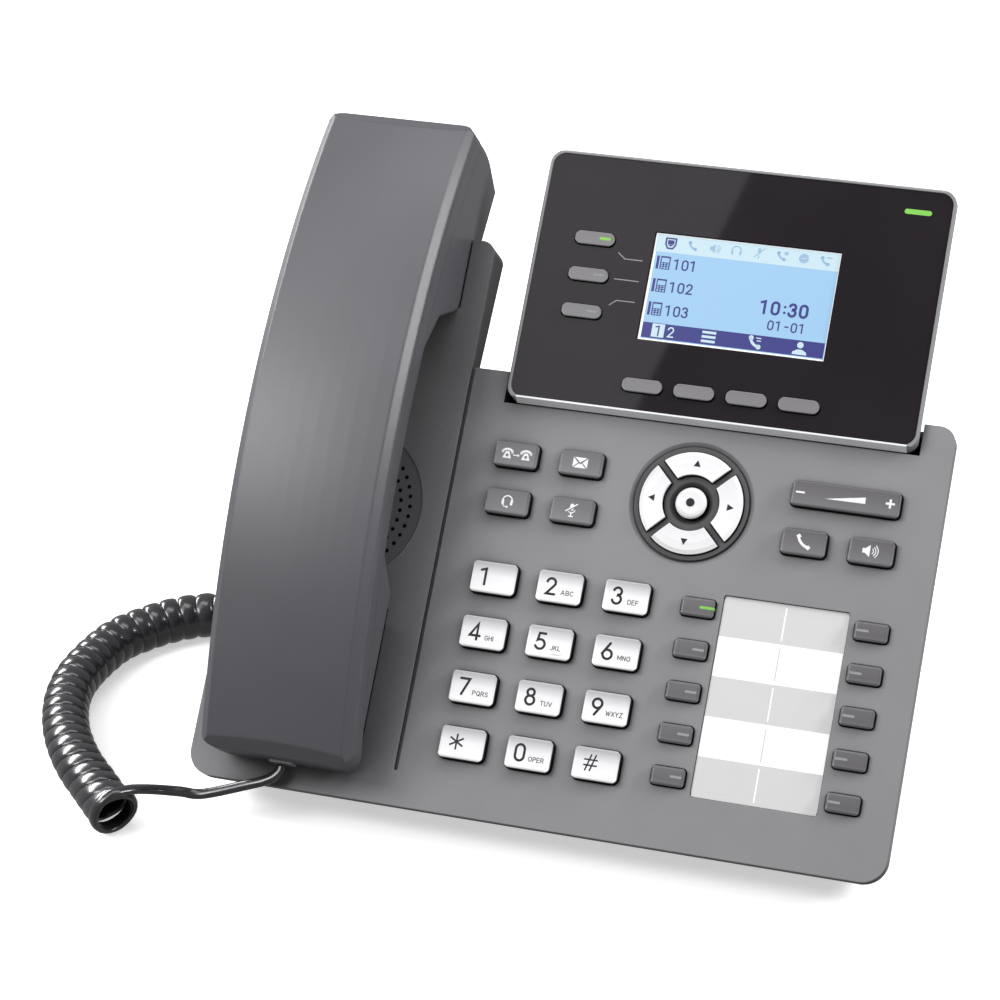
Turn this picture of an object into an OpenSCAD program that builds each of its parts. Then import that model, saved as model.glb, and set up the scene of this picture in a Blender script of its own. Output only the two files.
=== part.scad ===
// Desk IP phone: a tilted key deck with a raised display, on a clip-on foot stand,
// with a corded handset lying in its cradle. All lengths are in millimetres.
//
// Most pieces are drawn in the deck's own frame and set in place by on_deck():
// x to the right, y up the slope from the front edge, z straight out of the deck.

/* [Body] */
// Width of the housing
body_w = 230; // [229:1:250]
// Length of the key deck up its slope
deck_len = 147; // [146:1:160]
// Tilt of the key deck from the desk
tilt = 50; // [48:1:52]
// Height of the deck's front edge above the desk
front_h = 14; // [13.5:0.5:16]
// Corner radius at the front of the deck
corner_r = 8; // [5:0.5:11]
// Corner radius at the back of the deck
back_corner_r = 5.5; // [3:0.5:7]
// Thickness of the deck plate
deck_t = 2.5; // [2.2:0.1:3]
// Depth of the deck's side walls
skirt_d = 5.5; // [4.5:0.5:7]
// Wall thickness of the mouldings
wall = 2; // [1.6:0.1:2.4]
// Depth of the housing behind the deck's face
housing_d = 28; // [27:0.5:32]

/* [Cradle] */
// Width of the cradle column, up to the groove beside the keys
cradle_w = 69.6; // [68:0.2:72]
// How far the cradle rises past the deck's back edge
tower_len = 43.4; // [38:0.2:44]
// Depth of the cradle tower's side walls at its top
tower_d = 13.8; // [13.8:0.2:15]
// Corner radius of the cradle tower
tower_r = 4.5; // [3:0.5:6]
// Width of the groove between the cradle and the keys
groove_w = 1.2; // [0.8:0.1:1.6]
// Distance from the front edge to the groove's end
groove_stop = 12; // [9:1:20]
// Radius of the loudspeaker grille
grille_r = 26.5; // [24:0.5:28]
// Distance from the front edge to the grille's centre
grille_y = 96; // [94:1:98]
// Spacing of the grille's rings of holes
grille_pitch = 3.2; // [3:0.1:3.6]
// Diameter of the grille's holes
grille_hole = 1.4; // [1:0.1:1.6]

/* [Handset] */
// Width of the handset
hs_w = 51.6; // [50:0.2:53]
// Length of the handset
hs_len = 216; // [213:1:220]
// Distance from the deck's front edge to the handset's end
hs_y0 = 7.5; // [6:0.5:8]
// Height of the handset's back above the deck, at its middle
crown_h = 43; // [42:0.5:46]
// Radius of the handset's arch
arch_r = 273; // [260:1:290]
// How much the handset's back is crowned across its width
crown = 0.9; // [0.5:0.1:1.5]
// Depth of the handset's outer shell
shell_d = 11; // [10:0.5:12]
// Chamfer along the outer shell's sides
side_chamfer = 2.6; // [2:0.1:4]
// Chamfer at the outer shell's ends
end_chamfer = 3; // [2:0.5:4]
// Corner radius of the handset
hs_r = 5.5; // [3:0.5:6]
// Thickness of the grip at the handset's middle
grip_t = 18; // [17:0.5:20]
// Radius of the receiver capsule
receiver_r = 16; // [14:0.5:17]
// Radius of the microphone capsule
mic_r = 5; // [4:0.5:6]

/* [Display] */
// Width of the display unit
pod_w = 135.8; // [134:0.2:138]
// Length of the display unit up the slope
pod_len = 87; // [84:0.2:88]
// Distance from the display unit to the body's right side
pod_edge = 11.2; // [10:0.2:13]
// How far the display unit reaches down over the deck
pod_lap = 10.2; // [9:0.2:11]
// Height of the display's face above the deck
pod_h = 4; // [3:0.5:6]
// Depth of the display unit behind the deck's face
pod_d = 12; // [11:0.5:14]
// Corner radius of the display unit
pod_r = 5.5; // [4:0.5:8]
// Rim of the display frame round the black panel
bezel = 1.2; // [1:0.1:2]
// Width of the visible screen
lcd_w = 62; // [58:1:64]
// Height of the visible screen
lcd_h = 37; // [34:1:38]

/* [Keys] */
// Width of a dial key
dial_w = 15; // [13:0.5:16]
// Height of a dial key
dial_h = 10.5; // [9:0.5:12]
// Spacing of the dial keys across
dial_dx = 22.1; // [20:0.1:22.4]
// Spacing of the dial keys up the slope
dial_dy = 18.2; // [17:0.1:18.4]
// How far the dial and function keys stand out of the deck
key_out = 2.8; // [2.2:0.1:3.2]
// How far a key travels
travel = 1.2; // [0.8:0.1:1.5]
// Gap between a key and the edge of its opening
key_gap = 0.35; // [0.3:0.05:0.5]
// Width of a function key
func_w = 14.5; // [13:0.5:16]
// Height of a function key
func_h = 8.4; // [7.6:0.2:9.6]
// Width of the volume rocker
volume_w = 35; // [32:0.5:36]
// Width of a quick key
quick_w = 10.8; // [10:0.1:12]
// Height of a quick key
quick_h = 6; // [5.5:0.1:7]
// Spacing of the quick keys
quick_dy = 13.7; // [12.6:0.1:13.8]
// Width of the pill keys beside and under the screen
pill_w = 13.4; // [12:0.2:14]
// Height of the pill keys
pill_h = 4.6; // [4:0.2:5]
// Outer radius of the navigation ring's keys
nav_r = 17.2; // [16:0.2:17.4]
// Inner radius of the navigation ring's keys
nav_in_r = 9; // [8.6:0.2:9.6]
// Radius of the centre key
ok_r = 5.1; // [4.5:0.1:5.5]

/* [Label] */
// Width of the label window
label_w = 40.6; // [38:0.2:41]
// Length of the label window
label_len = 65.3; // [62:0.1:66]

/* [Stand] */
// Width of the foot stand
stand_w = 150; // [120:5:160]
// How far behind the deck's front edge the stand reaches on the desk
stand_reach = 150.5; // [150:0.5:158]
// Thickness of the stand's panels
stand_t = 4; // [3:0.5:5]
// Thickness of the rubber pads under the stand
pad_t = 2; // [1.5:0.5:3]

/* [Cord] */
// Outer diameter of the curly cord's coils
coil_od = 16; // [13:0.5:17]
// Diameter of the cord itself
cord_d = 3.4; // [3:0.1:3.8]

/* [Hidden] */
$fn = 64;
eps = 0.01;
fit = 0.3; // gap between pieces that are seated but not pressed together
half_w = body_w / 2;

// Deck-frame places measured from the groove, the right side and the deck's back edge.
groove_x = cradle_w - half_w;
groove_d = 1.2;
hs_x = (cradle_w - body_w) / 2; // middle of the cradle column
tower_x1 = groove_x - groove_w / 2;
tower_top = deck_len + tower_len;
tower_y0 = deck_len - 12; // where the tower's deeper side walls begin
tower_d0 = tower_d - 4.6; // their depth at the deck's back edge

dial_x = groove_x + 20.8;
dial_y = deck_len - 124;
func_x = groove_x + 20.5;
func_dx = 21.8;
row_y = [deck_len - 28, deck_len - 43.9]; // upper and lower row of function keys
nav_x = groove_x + 80;
nav_y = deck_len - 35.8;
volume_x = half_w - 31.2;
right_x = [half_w - 42.1, half_w - 20.5]; // call and speaker keys
label_x = half_w - 44.3;
label_y = deck_len - 96.4;
quick_x = [half_w - 72.2, half_w - 16.4];
quick_y = deck_len - 124;

pod_x1 = half_w - pod_edge;
pod_x0 = pod_x1 - pod_w;
pod_x = (pod_x0 + pod_x1) / 2;
pod_y0 = deck_len - pod_lap;
pod_y1 = pod_y0 + pod_len;
slot_w = [1.1, 0.5]; // gaps between the display unit and the deck to its left and right
lcd_x = pod_x0 + 70.6;
lcd_y = pod_y0 + 43.9;
line_x = pod_x0 + 20;
line_y = pod_y0 + 32.5;
line_dy = 12.5;
soft_x = pod_x0 + 44.5;
soft_dx = 17.23;
soft_y = pod_y0 + 9.9;
panel_t = 1.6; // black display panel
panel_z = pod_h - 0.3; // its front face, just under the rim
lcd_t = 5;
strip_in = 1.2; // how far the frame's lower edge leans back

// Circuit board and what stands on it.
board_z = -8; // front face of the board
board_t = 1.6;
jack_y = 66; // row of jacks in the back
jack_x = [-19, 4, 25]; // network, computer and headset jacks
power_x = 45;
rj45 = [15.5, 13.5]; // outer size of a network jack
rj9 = [11, 11]; // outer size of a handset or headset jack
cord_jack_x = groove_x + 5.4;

// Back housing: how its outline draws in from the deck's outline.
rim_in = 1.2;
draft = 8; // side walls lean in by this much over the housing's depth
front_draft = 6;
back_cut = 3; // chamfer round the back

// Handset, in the deck's frame.
hs_y1 = hs_y0 + hs_len;
hs_y = hs_y0 + hs_len / 2;
arch_z = crown_h - arch_r; // axis of the arch
part_r = arch_r - shell_d; // radius of the line where the shells meet
grip_r = arch_r - grip_t; // radius of the grip's underside
hs_wall = 2.2;
inner_in = 0.2; // the inner shell stands in from the outer one
function arch_n(r, y) = arch_z + sqrt(r * r - (y - hs_y) * (y - hs_y));

// Ear end: its flat lies on a slope between two named ends, and a wide curve leads up from
// the flat's front end to the grip.
ear_a = [hs_y1 - 10.8, -16.8];
ear_b = [hs_y1 - 44, -8.4];
ear_slope = (ear_b[1] - ear_a[1]) / (ear_b[0] - ear_a[0]);
function ear_n(y) = ear_a[1] + (y - ear_a[0]) * ear_slope;
ear_tilt = atan(ear_slope);
ear_mid = [(ear_a[0] + ear_b[0]) / 2, (ear_a[1] + ear_b[1]) / 2];
nose_r = 24;
nose_c = ear_b + nose_r * [-sin(ear_tilt), cos(ear_tilt)];
nose_top = [hs_y1 - 66, 19.5]; // where the curve's front face turns towards the grip
// Mouth end, likewise.
mouth_a = [hs_y0 + 5.5, 0.4];
mouth_b = [hs_y0 + 43.5, -4];
mouth_slope = (mouth_b[1] - mouth_a[1]) / (mouth_b[0] - mouth_a[0]);
function mouth_n(y) = mouth_a[1] + (y - mouth_a[0]) * mouth_slope;
mouth_mid = [(mouth_a[0] + mouth_b[0]) / 2 + 6, 0];
mouth_w = 41; // width of the mouth end's flat
well_w = hs_w + 0.6; // width of the ear well in the tower
mouth_well_w = mouth_w + 3;
mouth_well_y = [hs_y0 + 4.5, mouth_b[0] + 12];

// Handset jack and plug, a four-contact modular pair.
plug_w = 7.6;
plug_t = 5.8;
plug_len = 12;
plug_x = hs_x - 1.5;
plug_y = hs_y0 - 0.5; // its outer end
plug_n = 4.5; // height of its middle above the deck

// Hook switch, standing through the floor of the ear well.
hook_y = ear_b[0] - 7.5;
hook_w = 14;
hook_h = 5;
hook_z = -15.5; // its lower end
function nose_n(y) = nose_c[1] - sqrt(nose_r * nose_r - (y - nose_c[0]) * (y - nose_c[0]));

// Back end of the handset cord.
base_plug_out = 3.2; // how far the plug stands out of the housing

// The deck's frame on the desk. The whole is centred from the handset's nose to the stand.
nose_y = hs_y0 + 1.25 * end_chamfer;
nose_reach = arch_n(arch_r + crown, nose_y) * sin(tilt) - nose_y * cos(tilt);
front_y = (nose_reach - stand_reach) / 2;
// World y and z of the deck-frame point y, z.
function desk(y, z) = [
    front_y + y * cos(tilt) - z * sin(tilt),
    front_h + y * sin(tilt) + z * cos(tilt)
];

// Route of the curly part of the cord, from its front end to its back end.
coil_route = [
    [-130, -92.5], [-138, -84.5], [-145.5, -76.5], [-153, -68.5], [-160, -59.5], [-167, -48.5],
    [-173, -35.5], [-176.5, -23], [-177.5, -11.5], [-176.5, 2], [-174, 13.5], [-168.5, 23], [-163, 30],
    [-157, 35.5], [-149, 40], [-138, 44], [-123, 48], [-108, 50], [-95, 50]
];
// Route of the lead from the coil to the handset.
lead_route = [
    [-132, -91, 13.5], [-129.5, -86.5, 14.2], [-127, -81.5, 12.5], [-123.5, -77.8, 10.2],
    [-117.5, -75, 8.9], [-107.4, -74.3, 9.6], [-91.1, -73.2, 15.7], [-86.8, -72.5, 17.3],
    [-83.9, -71.6, 18.8], [-82.2, -70.3, 20.5], [-81.7, -69.2, 21.9]
];
// Route of the lead from the coil to the jack in the back.
tail_route = [
    [-97, 50, 5], [-90, 49.5, 3], [-82, 47, 2], [-73, 42, 2], [-64, 36, 2], [-56, 30, 5], [-49, 24, 12],
    [-44, 17, 21], [-41, 9, 31], [-40, 2.5, 39], [-40, -3.6, 44.5]
];

DIAL = [
    "dial_key_star", "dial_key_0", "dial_key_hash", "dial_key_7", "dial_key_8", "dial_key_9",
    "dial_key_4", "dial_key_5", "dial_key_6", "dial_key_1", "dial_key_2", "dial_key_3"
];
NAV = ["nav_key_right", "nav_key_up", "nav_key_left", "nav_key_down"];
FUNC = ["transfer_key", "message_key", "headset_key", "mute_key"];
RIGHT = ["call_key", "speaker_key"];
QUICK = [for (i = [1:10]) str("quick_key_", i)];
LINE = [for (i = [1:3]) str("line_key_", i)];
SOFT = [for (i = [1:4]) str("soft_key_", i)];

// ---- Building blocks ----

module on_deck() {
    translate([0, front_y, front_h]) rotate([tilt, 0, 0]) children();
}

// Extrudes a plan outline from z0 to z1.
module slab(z0, z1) {
    translate([0, 0, z0]) linear_extrude(z1 - z0) children();
}

// Extrudes a side view, drawn as y and z, from x0 to x1.
module along_x(x0, x1) {
    translate([x0, 0, 0]) rotate([90, 0, 90]) linear_extrude(x1 - x0) children();
}

// Extrudes a front view, drawn as x and z, from y0 to y1.
module along_y(y0, y1) {
    translate([0, y1, 0]) rotate([90, 0, 0]) linear_extrude(y1 - y0) children();
}

// Rectangle with true round corners, centred.
module rounded(w, h, r) {
    square([w - 2 * r, h], center = true);
    square([w, h - 2 * r], center = true);
    for (sx = [-1, 1], sy = [-1, 1]) translate([sx * (w / 2 - r), sy * (h / 2 - r)]) circle(r);
}

// Rectangle between two corners.
module span(x0, x1, y0, y1, r = 0) {
    if (r > 0) translate([(x0 + x1) / 2, (y0 + y1) / 2]) rounded(x1 - x0, y1 - y0, r);
    else translate([x0, y0]) square([x1 - x0, y1 - y0]);
}

// Outline with flat sides and rounded upper corners, for the side view of a key.
module crowned(w, z0, z1, r) {
    span(-w / 2, w / 2, z0, z1 - r);
    span(r - w / 2, w / 2 - r, z1 - r - eps, z1);
    for (s = [-1, 1]) translate([s * (w / 2 - r), z1 - r]) circle(r);
}

// ---- Keys ----

flange = 0.8; // how far a key's flange reaches past its opening
flange_t = 1;

// Keycap with rounded top edges, and a flange under the plate that holds it in.
// Its outline is centred; top is its height above the plate's face, plate the thickness.
// The flange sits under the plate with a gap between them.
module keycap(w, h, r, top, plate, edge = 0.8, gap = fit) {
    under = -plate - gap;
    intersection() {
        slab(under - eps, top) rounded(w, h, r);
        along_x(-w, w) crowned(h, under - eps, top, edge);
        along_y(-h, h) crowned(w, under - eps, top, edge);
    }
    slab(under - flange_t, under)
        rounded(w + 2 * flange, h + 2 * flange, min(r + flange, h / 2));
}

module key_hole(w, h, r) {
    slab(-deck_t - skirt_d, 5) rounded(w + 2 * key_gap, h + 2 * key_gap, min(r + key_gap, h / 2));
}

// Puts a child at each dial key's place, or at one of them.
function dial_at(i) = [dial_x + (i % 3) * dial_dx, dial_y + floor(i / 3) * dial_dy, 0];
function func_at(i) = [func_x + (i % 2) * func_dx, row_y[floor(i / 2)], 0];
function right_at(i) = [right_x[i], row_y[1], 0];
function quick_at(i) = [quick_x[floor(i / 5)], quick_y + (4 - i % 5) * quick_dy, 0];
function line_at(i) = [line_x, line_y + (2 - i) * line_dy, panel_z];
function soft_at(i) = [soft_x + i * soft_dx, soft_y, panel_z];
volume_at = [volume_x, row_y[0], 0];
nav_at = [nav_x, nav_y, 0];

module dial_key(i) {
    color("white") on_deck() translate(dial_at(i)) {
        keycap(dial_w, dial_h, 2, key_out, deck_t);
        // locating bar on the middle key
        if (i == 7) translate([2.9, -dial_h / 2 + 2, key_out - 0.2]) slab(0, 0.5) rounded(3, 0.7, 0.3);
    }
}

module func_key(i) {
    color("dimgray") on_deck() translate(func_at(i)) keycap(func_w, func_h, 1.6, key_out, deck_t);
}

module right_key(i) {
    color("dimgray") on_deck() translate(right_at(i)) keycap(func_w, func_h, 1.6, key_out, deck_t);
}

// The rocker tips about its middle, so its flange hangs lower.
rocker_gap = 0.95;
// The volume rocker tips on a round rib under its middle.
rocker_axis = -deck_t - rocker_gap - flange_t;
fulcrum_r = 1;
module volume_rocker() {
    color("dimgray") on_deck() translate(volume_at) {
        keycap(volume_w, func_h, 1.6, key_out, deck_t, gap = rocker_gap);
        translate([0, 0, rocker_axis]) along_y(-func_h / 2, func_h / 2) circle(fulcrum_r);
    }
}

quick_out = 2;
module quick_key(i) {
    color("dimgray") on_deck() translate(quick_at(i)) keycap(quick_w, quick_h, 1.2, quick_out, deck_t);
}

pill_out = 1;
module line_key(i) {
    color("gray") on_deck() translate(line_at(i))
        keycap(pill_w, pill_h, pill_h / 2 - eps, pill_out, panel_t, 0.4);
}

module soft_key(i) {
    color("gray") on_deck() translate(soft_at(i))
        keycap(pill_w, pill_h, pill_h / 2 - eps, pill_out, panel_t, 0.4);
}

// Navigation ring: four keys between spokes, round a centre key.
spoke_w = 1.9;
nav_out = 1.7;
nav_rim_r = nav_r + 1.5; // flat ring round the keys
nav_dish_r = nav_r + 3.2; // outer edge of the sloping groove
ok_ring_r = ok_r + 2; // outer edge of the centre key's dish

// One quarter of the ring, facing +x, drawn in by gap on every side.
module petal(gap) {
    intersection() {
        difference() {
            circle(nav_r - gap);
            circle(nav_in_r + gap);
        }
        rotate(-45) translate([spoke_w / 2 + gap, spoke_w / 2 + gap]) square(nav_r);
    }
}

module nav_key(i) {
    under = -deck_t - fit;
    color("white") on_deck() translate(nav_at) rotate(90 * i) {
        intersection() {
            slab(under - eps, nav_out) petal(key_gap);
            // the keys fall away towards the rim
            rotate_extrude() polygon([
                [0, under - 1], [nav_r, under - 1], [nav_r, nav_out - 0.9],
                [nav_r - 1.6, nav_out - 0.25], [nav_r - 4, nav_out], [0, nav_out]
            ]);
        }
        slab(under - flange_t, under) petal(key_gap - flange);
    }
}

module nav_key_ok() {
    under = -deck_t - fit;
    color("white") on_deck() translate(nav_at) rotate_extrude() polygon([
        [0, under - flange_t], [ok_r + flange, under - flange_t], [ok_r + flange, under],
        [ok_r, under], [ok_r, nav_out - 0.9], [ok_r - 0.5, nav_out - 0.3], [ok_r - 1.4, nav_out],
        [0, nav_out + 0.15]
    ]);
}

module nav_cuts() {
    for (i = [0:3]) rotate(90 * i) slab(-deck_t - 1, 2) petal(0);
    cylinder(h = 20, r = ok_r + key_gap, center = true);
    rotate_extrude() polygon([
        [nav_rim_r, 1], [nav_rim_r, -1], [nav_dish_r, 0], [nav_dish_r + 1, 1]
    ]);
    rotate_extrude() polygon([[0, 1], [0, -1.3], [ok_r + key_gap, -1.3], [ok_ring_r, 0], [ok_ring_r, 1]]);
}

// ---- Housing ----

// Plan of the key deck with the notch for the display unit.
module deck_plan(in = 0) {
    r = corner_r - in;
    rb = back_corner_r - min(in, 3);
    x1 = half_w - in;
    difference() {
        union() {
            span(-x1, x1, in, deck_len - 20, r);
            span(-x1, x1 - rb - 10, 30, deck_len - in);
            span(0, x1, 60, deck_len - in, rb);
            span(-x1, x1, 60, deck_len - in - 2 * rb);
        }
        span(pod_x0 - slot_w[0] - in, pod_x1 + slot_w[1] + in, pod_y0 - fit - in, deck_len + 1);
    }
}

module tower_plan(in = 0) {
    span(-half_w + in, tower_x1 - in, deck_len - 30, tower_top - in, tower_r - min(in, tower_r - 1));
}

// Side view of the ear well: the handset's own underside, moved out by gap.
module well_side(gap, top) {
    r = nose_r + gap;
    end = tower_top + 1;
    polygon(concat(
        [[end, top], [end, ear_n(end) - gap / cos(ear_tilt)]],
        turned(nose_c, r, 270 + ear_tilt, 180 + asin((nose_c[1] - top) / r), 5)
    ));
}

// Floor and walls round the ear well.
module ear_tub() {
    intersection() {
        along_x(hs_x - well_w / 2 - wall, hs_x + well_w / 2 + wall) well_side(fit + wall, 0);
        slab(-housing_d, 0) tower_plan();
    }
}

module ear_well() {
    along_x(hs_x - well_w / 2, hs_x + well_w / 2) well_side(fit, 1);
}

module mouth_tub() {
    w = mouth_well_w / 2 + wall;
    y = mouth_well_y;
    along_x(hs_x - w, hs_x + w) polygon([
        [y[0] - wall, -eps], [y[1] + wall, -eps], [y[1] + wall, mouth_n(y[1]) - fit - wall],
        [y[0] - wall, mouth_n(y[0]) - fit - wall - 1]
    ]);
}

module mouth_well() {
    w = mouth_well_w / 2;
    y = mouth_well_y;
    along_x(hs_x - w, hs_x + w)
        polygon([[y[0], 1], [y[1], 1], [y[1], mouth_n(y[1]) - fit], [y[0], mouth_n(y[0]) - fit]]);
}

label_d = 1; // depth of the label recess

// Everything behind the tower's walls, whose lower edge slants.
module behind_tower(gap = 0) {
    along_x(-half_w - 1, tower_x1 + 1) polygon([
        [tower_y0 - 40, -tower_d0 + gap], [deck_len, -tower_d0 + gap], [tower_top + gap, -tower_d + gap],
        [tower_top + gap, -housing_d * 2], [tower_y0 - 40, -housing_d * 2]
    ]);
}

module top_cover() {
    color("gray") on_deck() difference() {
        union() {
            difference() {
                union() {
                    slab(-skirt_d, 0) deck_plan();
                    slab(-tower_d, 0) tower_plan();
                }
                slab(-tower_d - 1, -deck_t) deck_plan(wall);
                slab(-tower_d - 1, -deck_t) tower_plan(wall);
                behind_tower();
                // the tower's walls end where the deck's begin
                slab(-tower_d - 1, -skirt_d) span(-half_w - 1, tower_x1 + 1, 0, tower_y0);
            }
            ear_tub();
            mouth_tub();
        }
        ear_well();
        mouth_well();
        // hook switch slot
        slab(-30, 1) translate([hs_x, hook_y]) rounded(hook_w + 1, hook_h + 1, 1);
        // groove between the cradle and the keys, with a round end
        slab(-groove_d, 1) {
            span(groove_x - groove_w / 2, groove_x + groove_w / 2, groove_stop, deck_len + 1);
            translate([groove_x, groove_stop]) circle(groove_w / 2);
        }
        // seat and sound opening of the grille
        translate([hs_x, grille_y, -grille_seat]) cylinder(h = 5, r = grille_r + 0.1);
        translate([hs_x, grille_y, -10]) cylinder(h = 11, r = grille_r - 2.4);
        // keys
        for (i = [0:11]) translate(dial_at(i)) key_hole(dial_w, dial_h, 2);
        for (i = [0:3]) translate(func_at(i)) key_hole(func_w, func_h, 1.6);
        for (i = [0:1]) translate(right_at(i)) key_hole(func_w, func_h, 1.6);
        for (i = [0:9]) translate(quick_at(i)) key_hole(quick_w, quick_h, 1.2);
        translate(volume_at) key_hole(volume_w, func_h, 1.6);
        translate(nav_at) nav_cuts();
        // label recess
        slab(-label_d, 1) translate([label_x, label_y]) rounded(label_w, label_len, 0.8);
    }
}

// Tapered box with chamfered back edges: plan corners x0 to x1 and y0 to y1, from z0 back to z1.
module tub(x0, x1, y0, y1, z0, z1, dx, dy0, dy1, r, cut) {
    c = min(cut, (z0 - z1) / 3);
    intersection() {
        slab(z1, z0) span(x0, x1, y0, y1, r);
        along_x(x0, x1) polygon([
            [y0, z0], [y1, z0], [y1 - dy1, z1 + c], [y1 - dy1 - c, z1],
            [y0 + dy0 + c * 0.3, z1], [y0 + dy0, z1 + c]
        ]);
        along_y(y0, y1) polygon([
            [x0, z0], [x1, z0], [x1 - dx, z1 + c], [x1 - dx - c, z1], [x0 + dx + c, z1], [x0 + dx, z1 + c]
        ]);
    }
}

// The three joined tubs of the back housing, drawn in by in on every side.
module back_tubs(in = 0) {
    up = in > 0 ? 1 : 0;
    r = corner_r - rim_in - in;
    e = rim_in + in;
    tub(
        -half_w + e, half_w - e, e, deck_len - e,
        -skirt_d + up, -housing_d + in, draft, front_draft, 2, r, back_cut
    );
    tub(
        -half_w + e, tower_x1 - e, deck_len - 50, tower_top - e,
        -tower_d0 + up, -housing_d + in + 3, 3, 0, 8, 3, back_cut
    );
    tub(
        pod_x0 + e + 1, pod_x1 - e - 1, deck_len - 12, pod_y1 - e - 1,
        pod_back + up, -pod_d + in, 3, 0, 6, 3, back_cut
    );
}

pod_back = -2; // where the display frame meets the back housing

module rear_cover() {
    color("dimgray") on_deck() difference() {
        union() {
            difference() {
                back_tubs();
                back_tubs(wall);
                // room for the deck, whose rim and walls sit on this cover
                slab(-skirt_d, 1) span(-half_w, half_w, 0, deck_len + fit);
                difference() {
                    slab(-tower_d, 1) span(-half_w, tower_x1 + fit, tower_y0 - fit, tower_top);
                    behind_tower();
                }
            }
            // pads that carry the circuit board
            for (x = [groove_x + 12, half_w - 16], y = [16, deck_len - 24])
                translate([x, y, -housing_d + 1]) cylinder(h = housing_d - 1 + board_z - board_t, r = 3);
            // ring that carries the loudspeaker
            translate([hs_x, grille_y, -housing_d + 1]) difference() {
                cylinder(h = housing_d - 1 + speaker_back, r = 11);
                translate([0, 0, wall]) cylinder(h = housing_d, r = 8);
            }
        }
        jack_windows();
        // slots that take the stand's hooks
        for (s = [-1, 1]) slab(-housing_d - 1, -housing_d + wall + 1)
            translate([s * hook_x, stand_y1 - 6])
                square([hook_slot_w + 2 * fit, hook_slot_h + 2 * fit], center = true);
    }
}

module jack_windows() {
    slab(-housing_d - 1, -housing_d + wall + 1) {
        for (x = [jack_x[0], jack_x[1]]) translate([x, jack_y]) square(rj45 + [0.6, 0.6], center = true);
        translate([jack_x[2], jack_y]) square(rj9 + [0.6, 0.6], center = true);
        translate([cord_jack_x, jack_y]) square(rj9 + [0.6, 0.6], center = true);
        translate([power_x, jack_y]) square([9.6, 11.6], center = true);
    }
}

// Jack body that hangs from the board and opens through the back housing.
module jack(size, mouth, depth) {
    back = -housing_d + 0.2;
    translate([0, jack_y, 0]) difference() {
        slab(back, board_z - board_t) square(size, center = true);
        slab(back - 1, back + depth) square(mouth, center = true);
    }
}

module board_plan(in = 0) {
    span(groove_x + 1 + in, half_w - 8 - in, 9 + in, deck_len - 14 - in, 2);
}

// Rubber mat on the board, with a pad that each key is pressed down towards.
mat_t = 1.2;
mat_top = -deck_t - fit - flange_t - travel - fit;
module key_mat() {
    color("silver") on_deck() {
        slab(board_z, board_z + mat_t) board_plan(2);
        // ridge that the volume rocker rests on
        slab(board_z, rocker_axis - fulcrum_r - fit) translate([volume_x, row_y[0]]) square([3, func_h], center = true);
        slab(board_z, mat_top) {
            for (i = [0:11]) translate(dial_at(i)) rounded(dial_w - 4, dial_h - 4, 2);
            for (i = [0:3]) translate(func_at(i)) rounded(func_w - 4, func_h - 4, 2);
            for (i = [0:1]) translate(right_at(i)) rounded(func_w - 4, func_h - 4, 2);
            for (i = [0:9]) translate(quick_at(i)) rounded(quick_w - 3, quick_h - 2, 1.5);
            for (s = [-1, 1]) translate([volume_x + s * volume_w * 0.3, row_y[0]]) circle(2.5);
            for (i = [0:3]) translate(nav_at) rotate(90 * i) translate([nav_r - 4.5, 0]) circle(2.5);
            translate(nav_at) circle(2.5);
        }
    }
}

module circuit_board() {
    color("darkgreen") on_deck() {
        slab(board_z - board_t, board_z) board_plan();
        for (x = [jack_x[0], jack_x[1]]) translate([x, 0, 0]) jack(rj45, [11.7, 8.4], 13);
        translate([jack_x[2], 0, 0]) jack(rj9, [7.9, 7], 11);
        translate([cord_jack_x, 0, 0]) jack(rj9, [plug_w + 0.2, plug_t + 0.2], 11);
        translate([power_x, jack_y, 0]) difference() {
            slab(-housing_d + 0.2, board_z - board_t) square([9, 11], center = true);
            translate([0, 0, -housing_d - 1]) cylinder(h = 11, r = 3.2);
        }
    }
}

// ---- Loudspeaker and grille ----

grille_seat = 1.6;
speaker_back = -20;
module speaker_grille() {
    rings = floor((grille_r - 3) / grille_pitch);
    color("dimgray") on_deck() translate([hs_x, grille_y, 0]) difference() {
        translate([0, 0, -grille_seat]) cylinder(h = grille_seat - 0.15, r = grille_r);
        translate([0, 0, -5]) cylinder(h = 10, r = grille_hole / 2);
        for (k = [1:rings]) {
            count = 6 * k;
            for (i = [0:count - 1]) rotate(360 / count * (i + 0.5 * (k % 2)))
                translate([k * grille_pitch, 0, -5]) cylinder(h = 10, r = grille_hole / 2, $fn = 16);
        }
    }
}

module loudspeaker() {
    r = grille_r - 3;
    color("black") on_deck() translate([hs_x, grille_y, 0]) rotate_extrude() polygon([
        [0, speaker_back], [10, speaker_back], [10, speaker_back + 6], [r, -6], [r, -deck_t - fit],
        [r - 2.5, -deck_t - fit], [8, -8], [0, -7]
    ]);
}

// ---- Display unit ----

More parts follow.
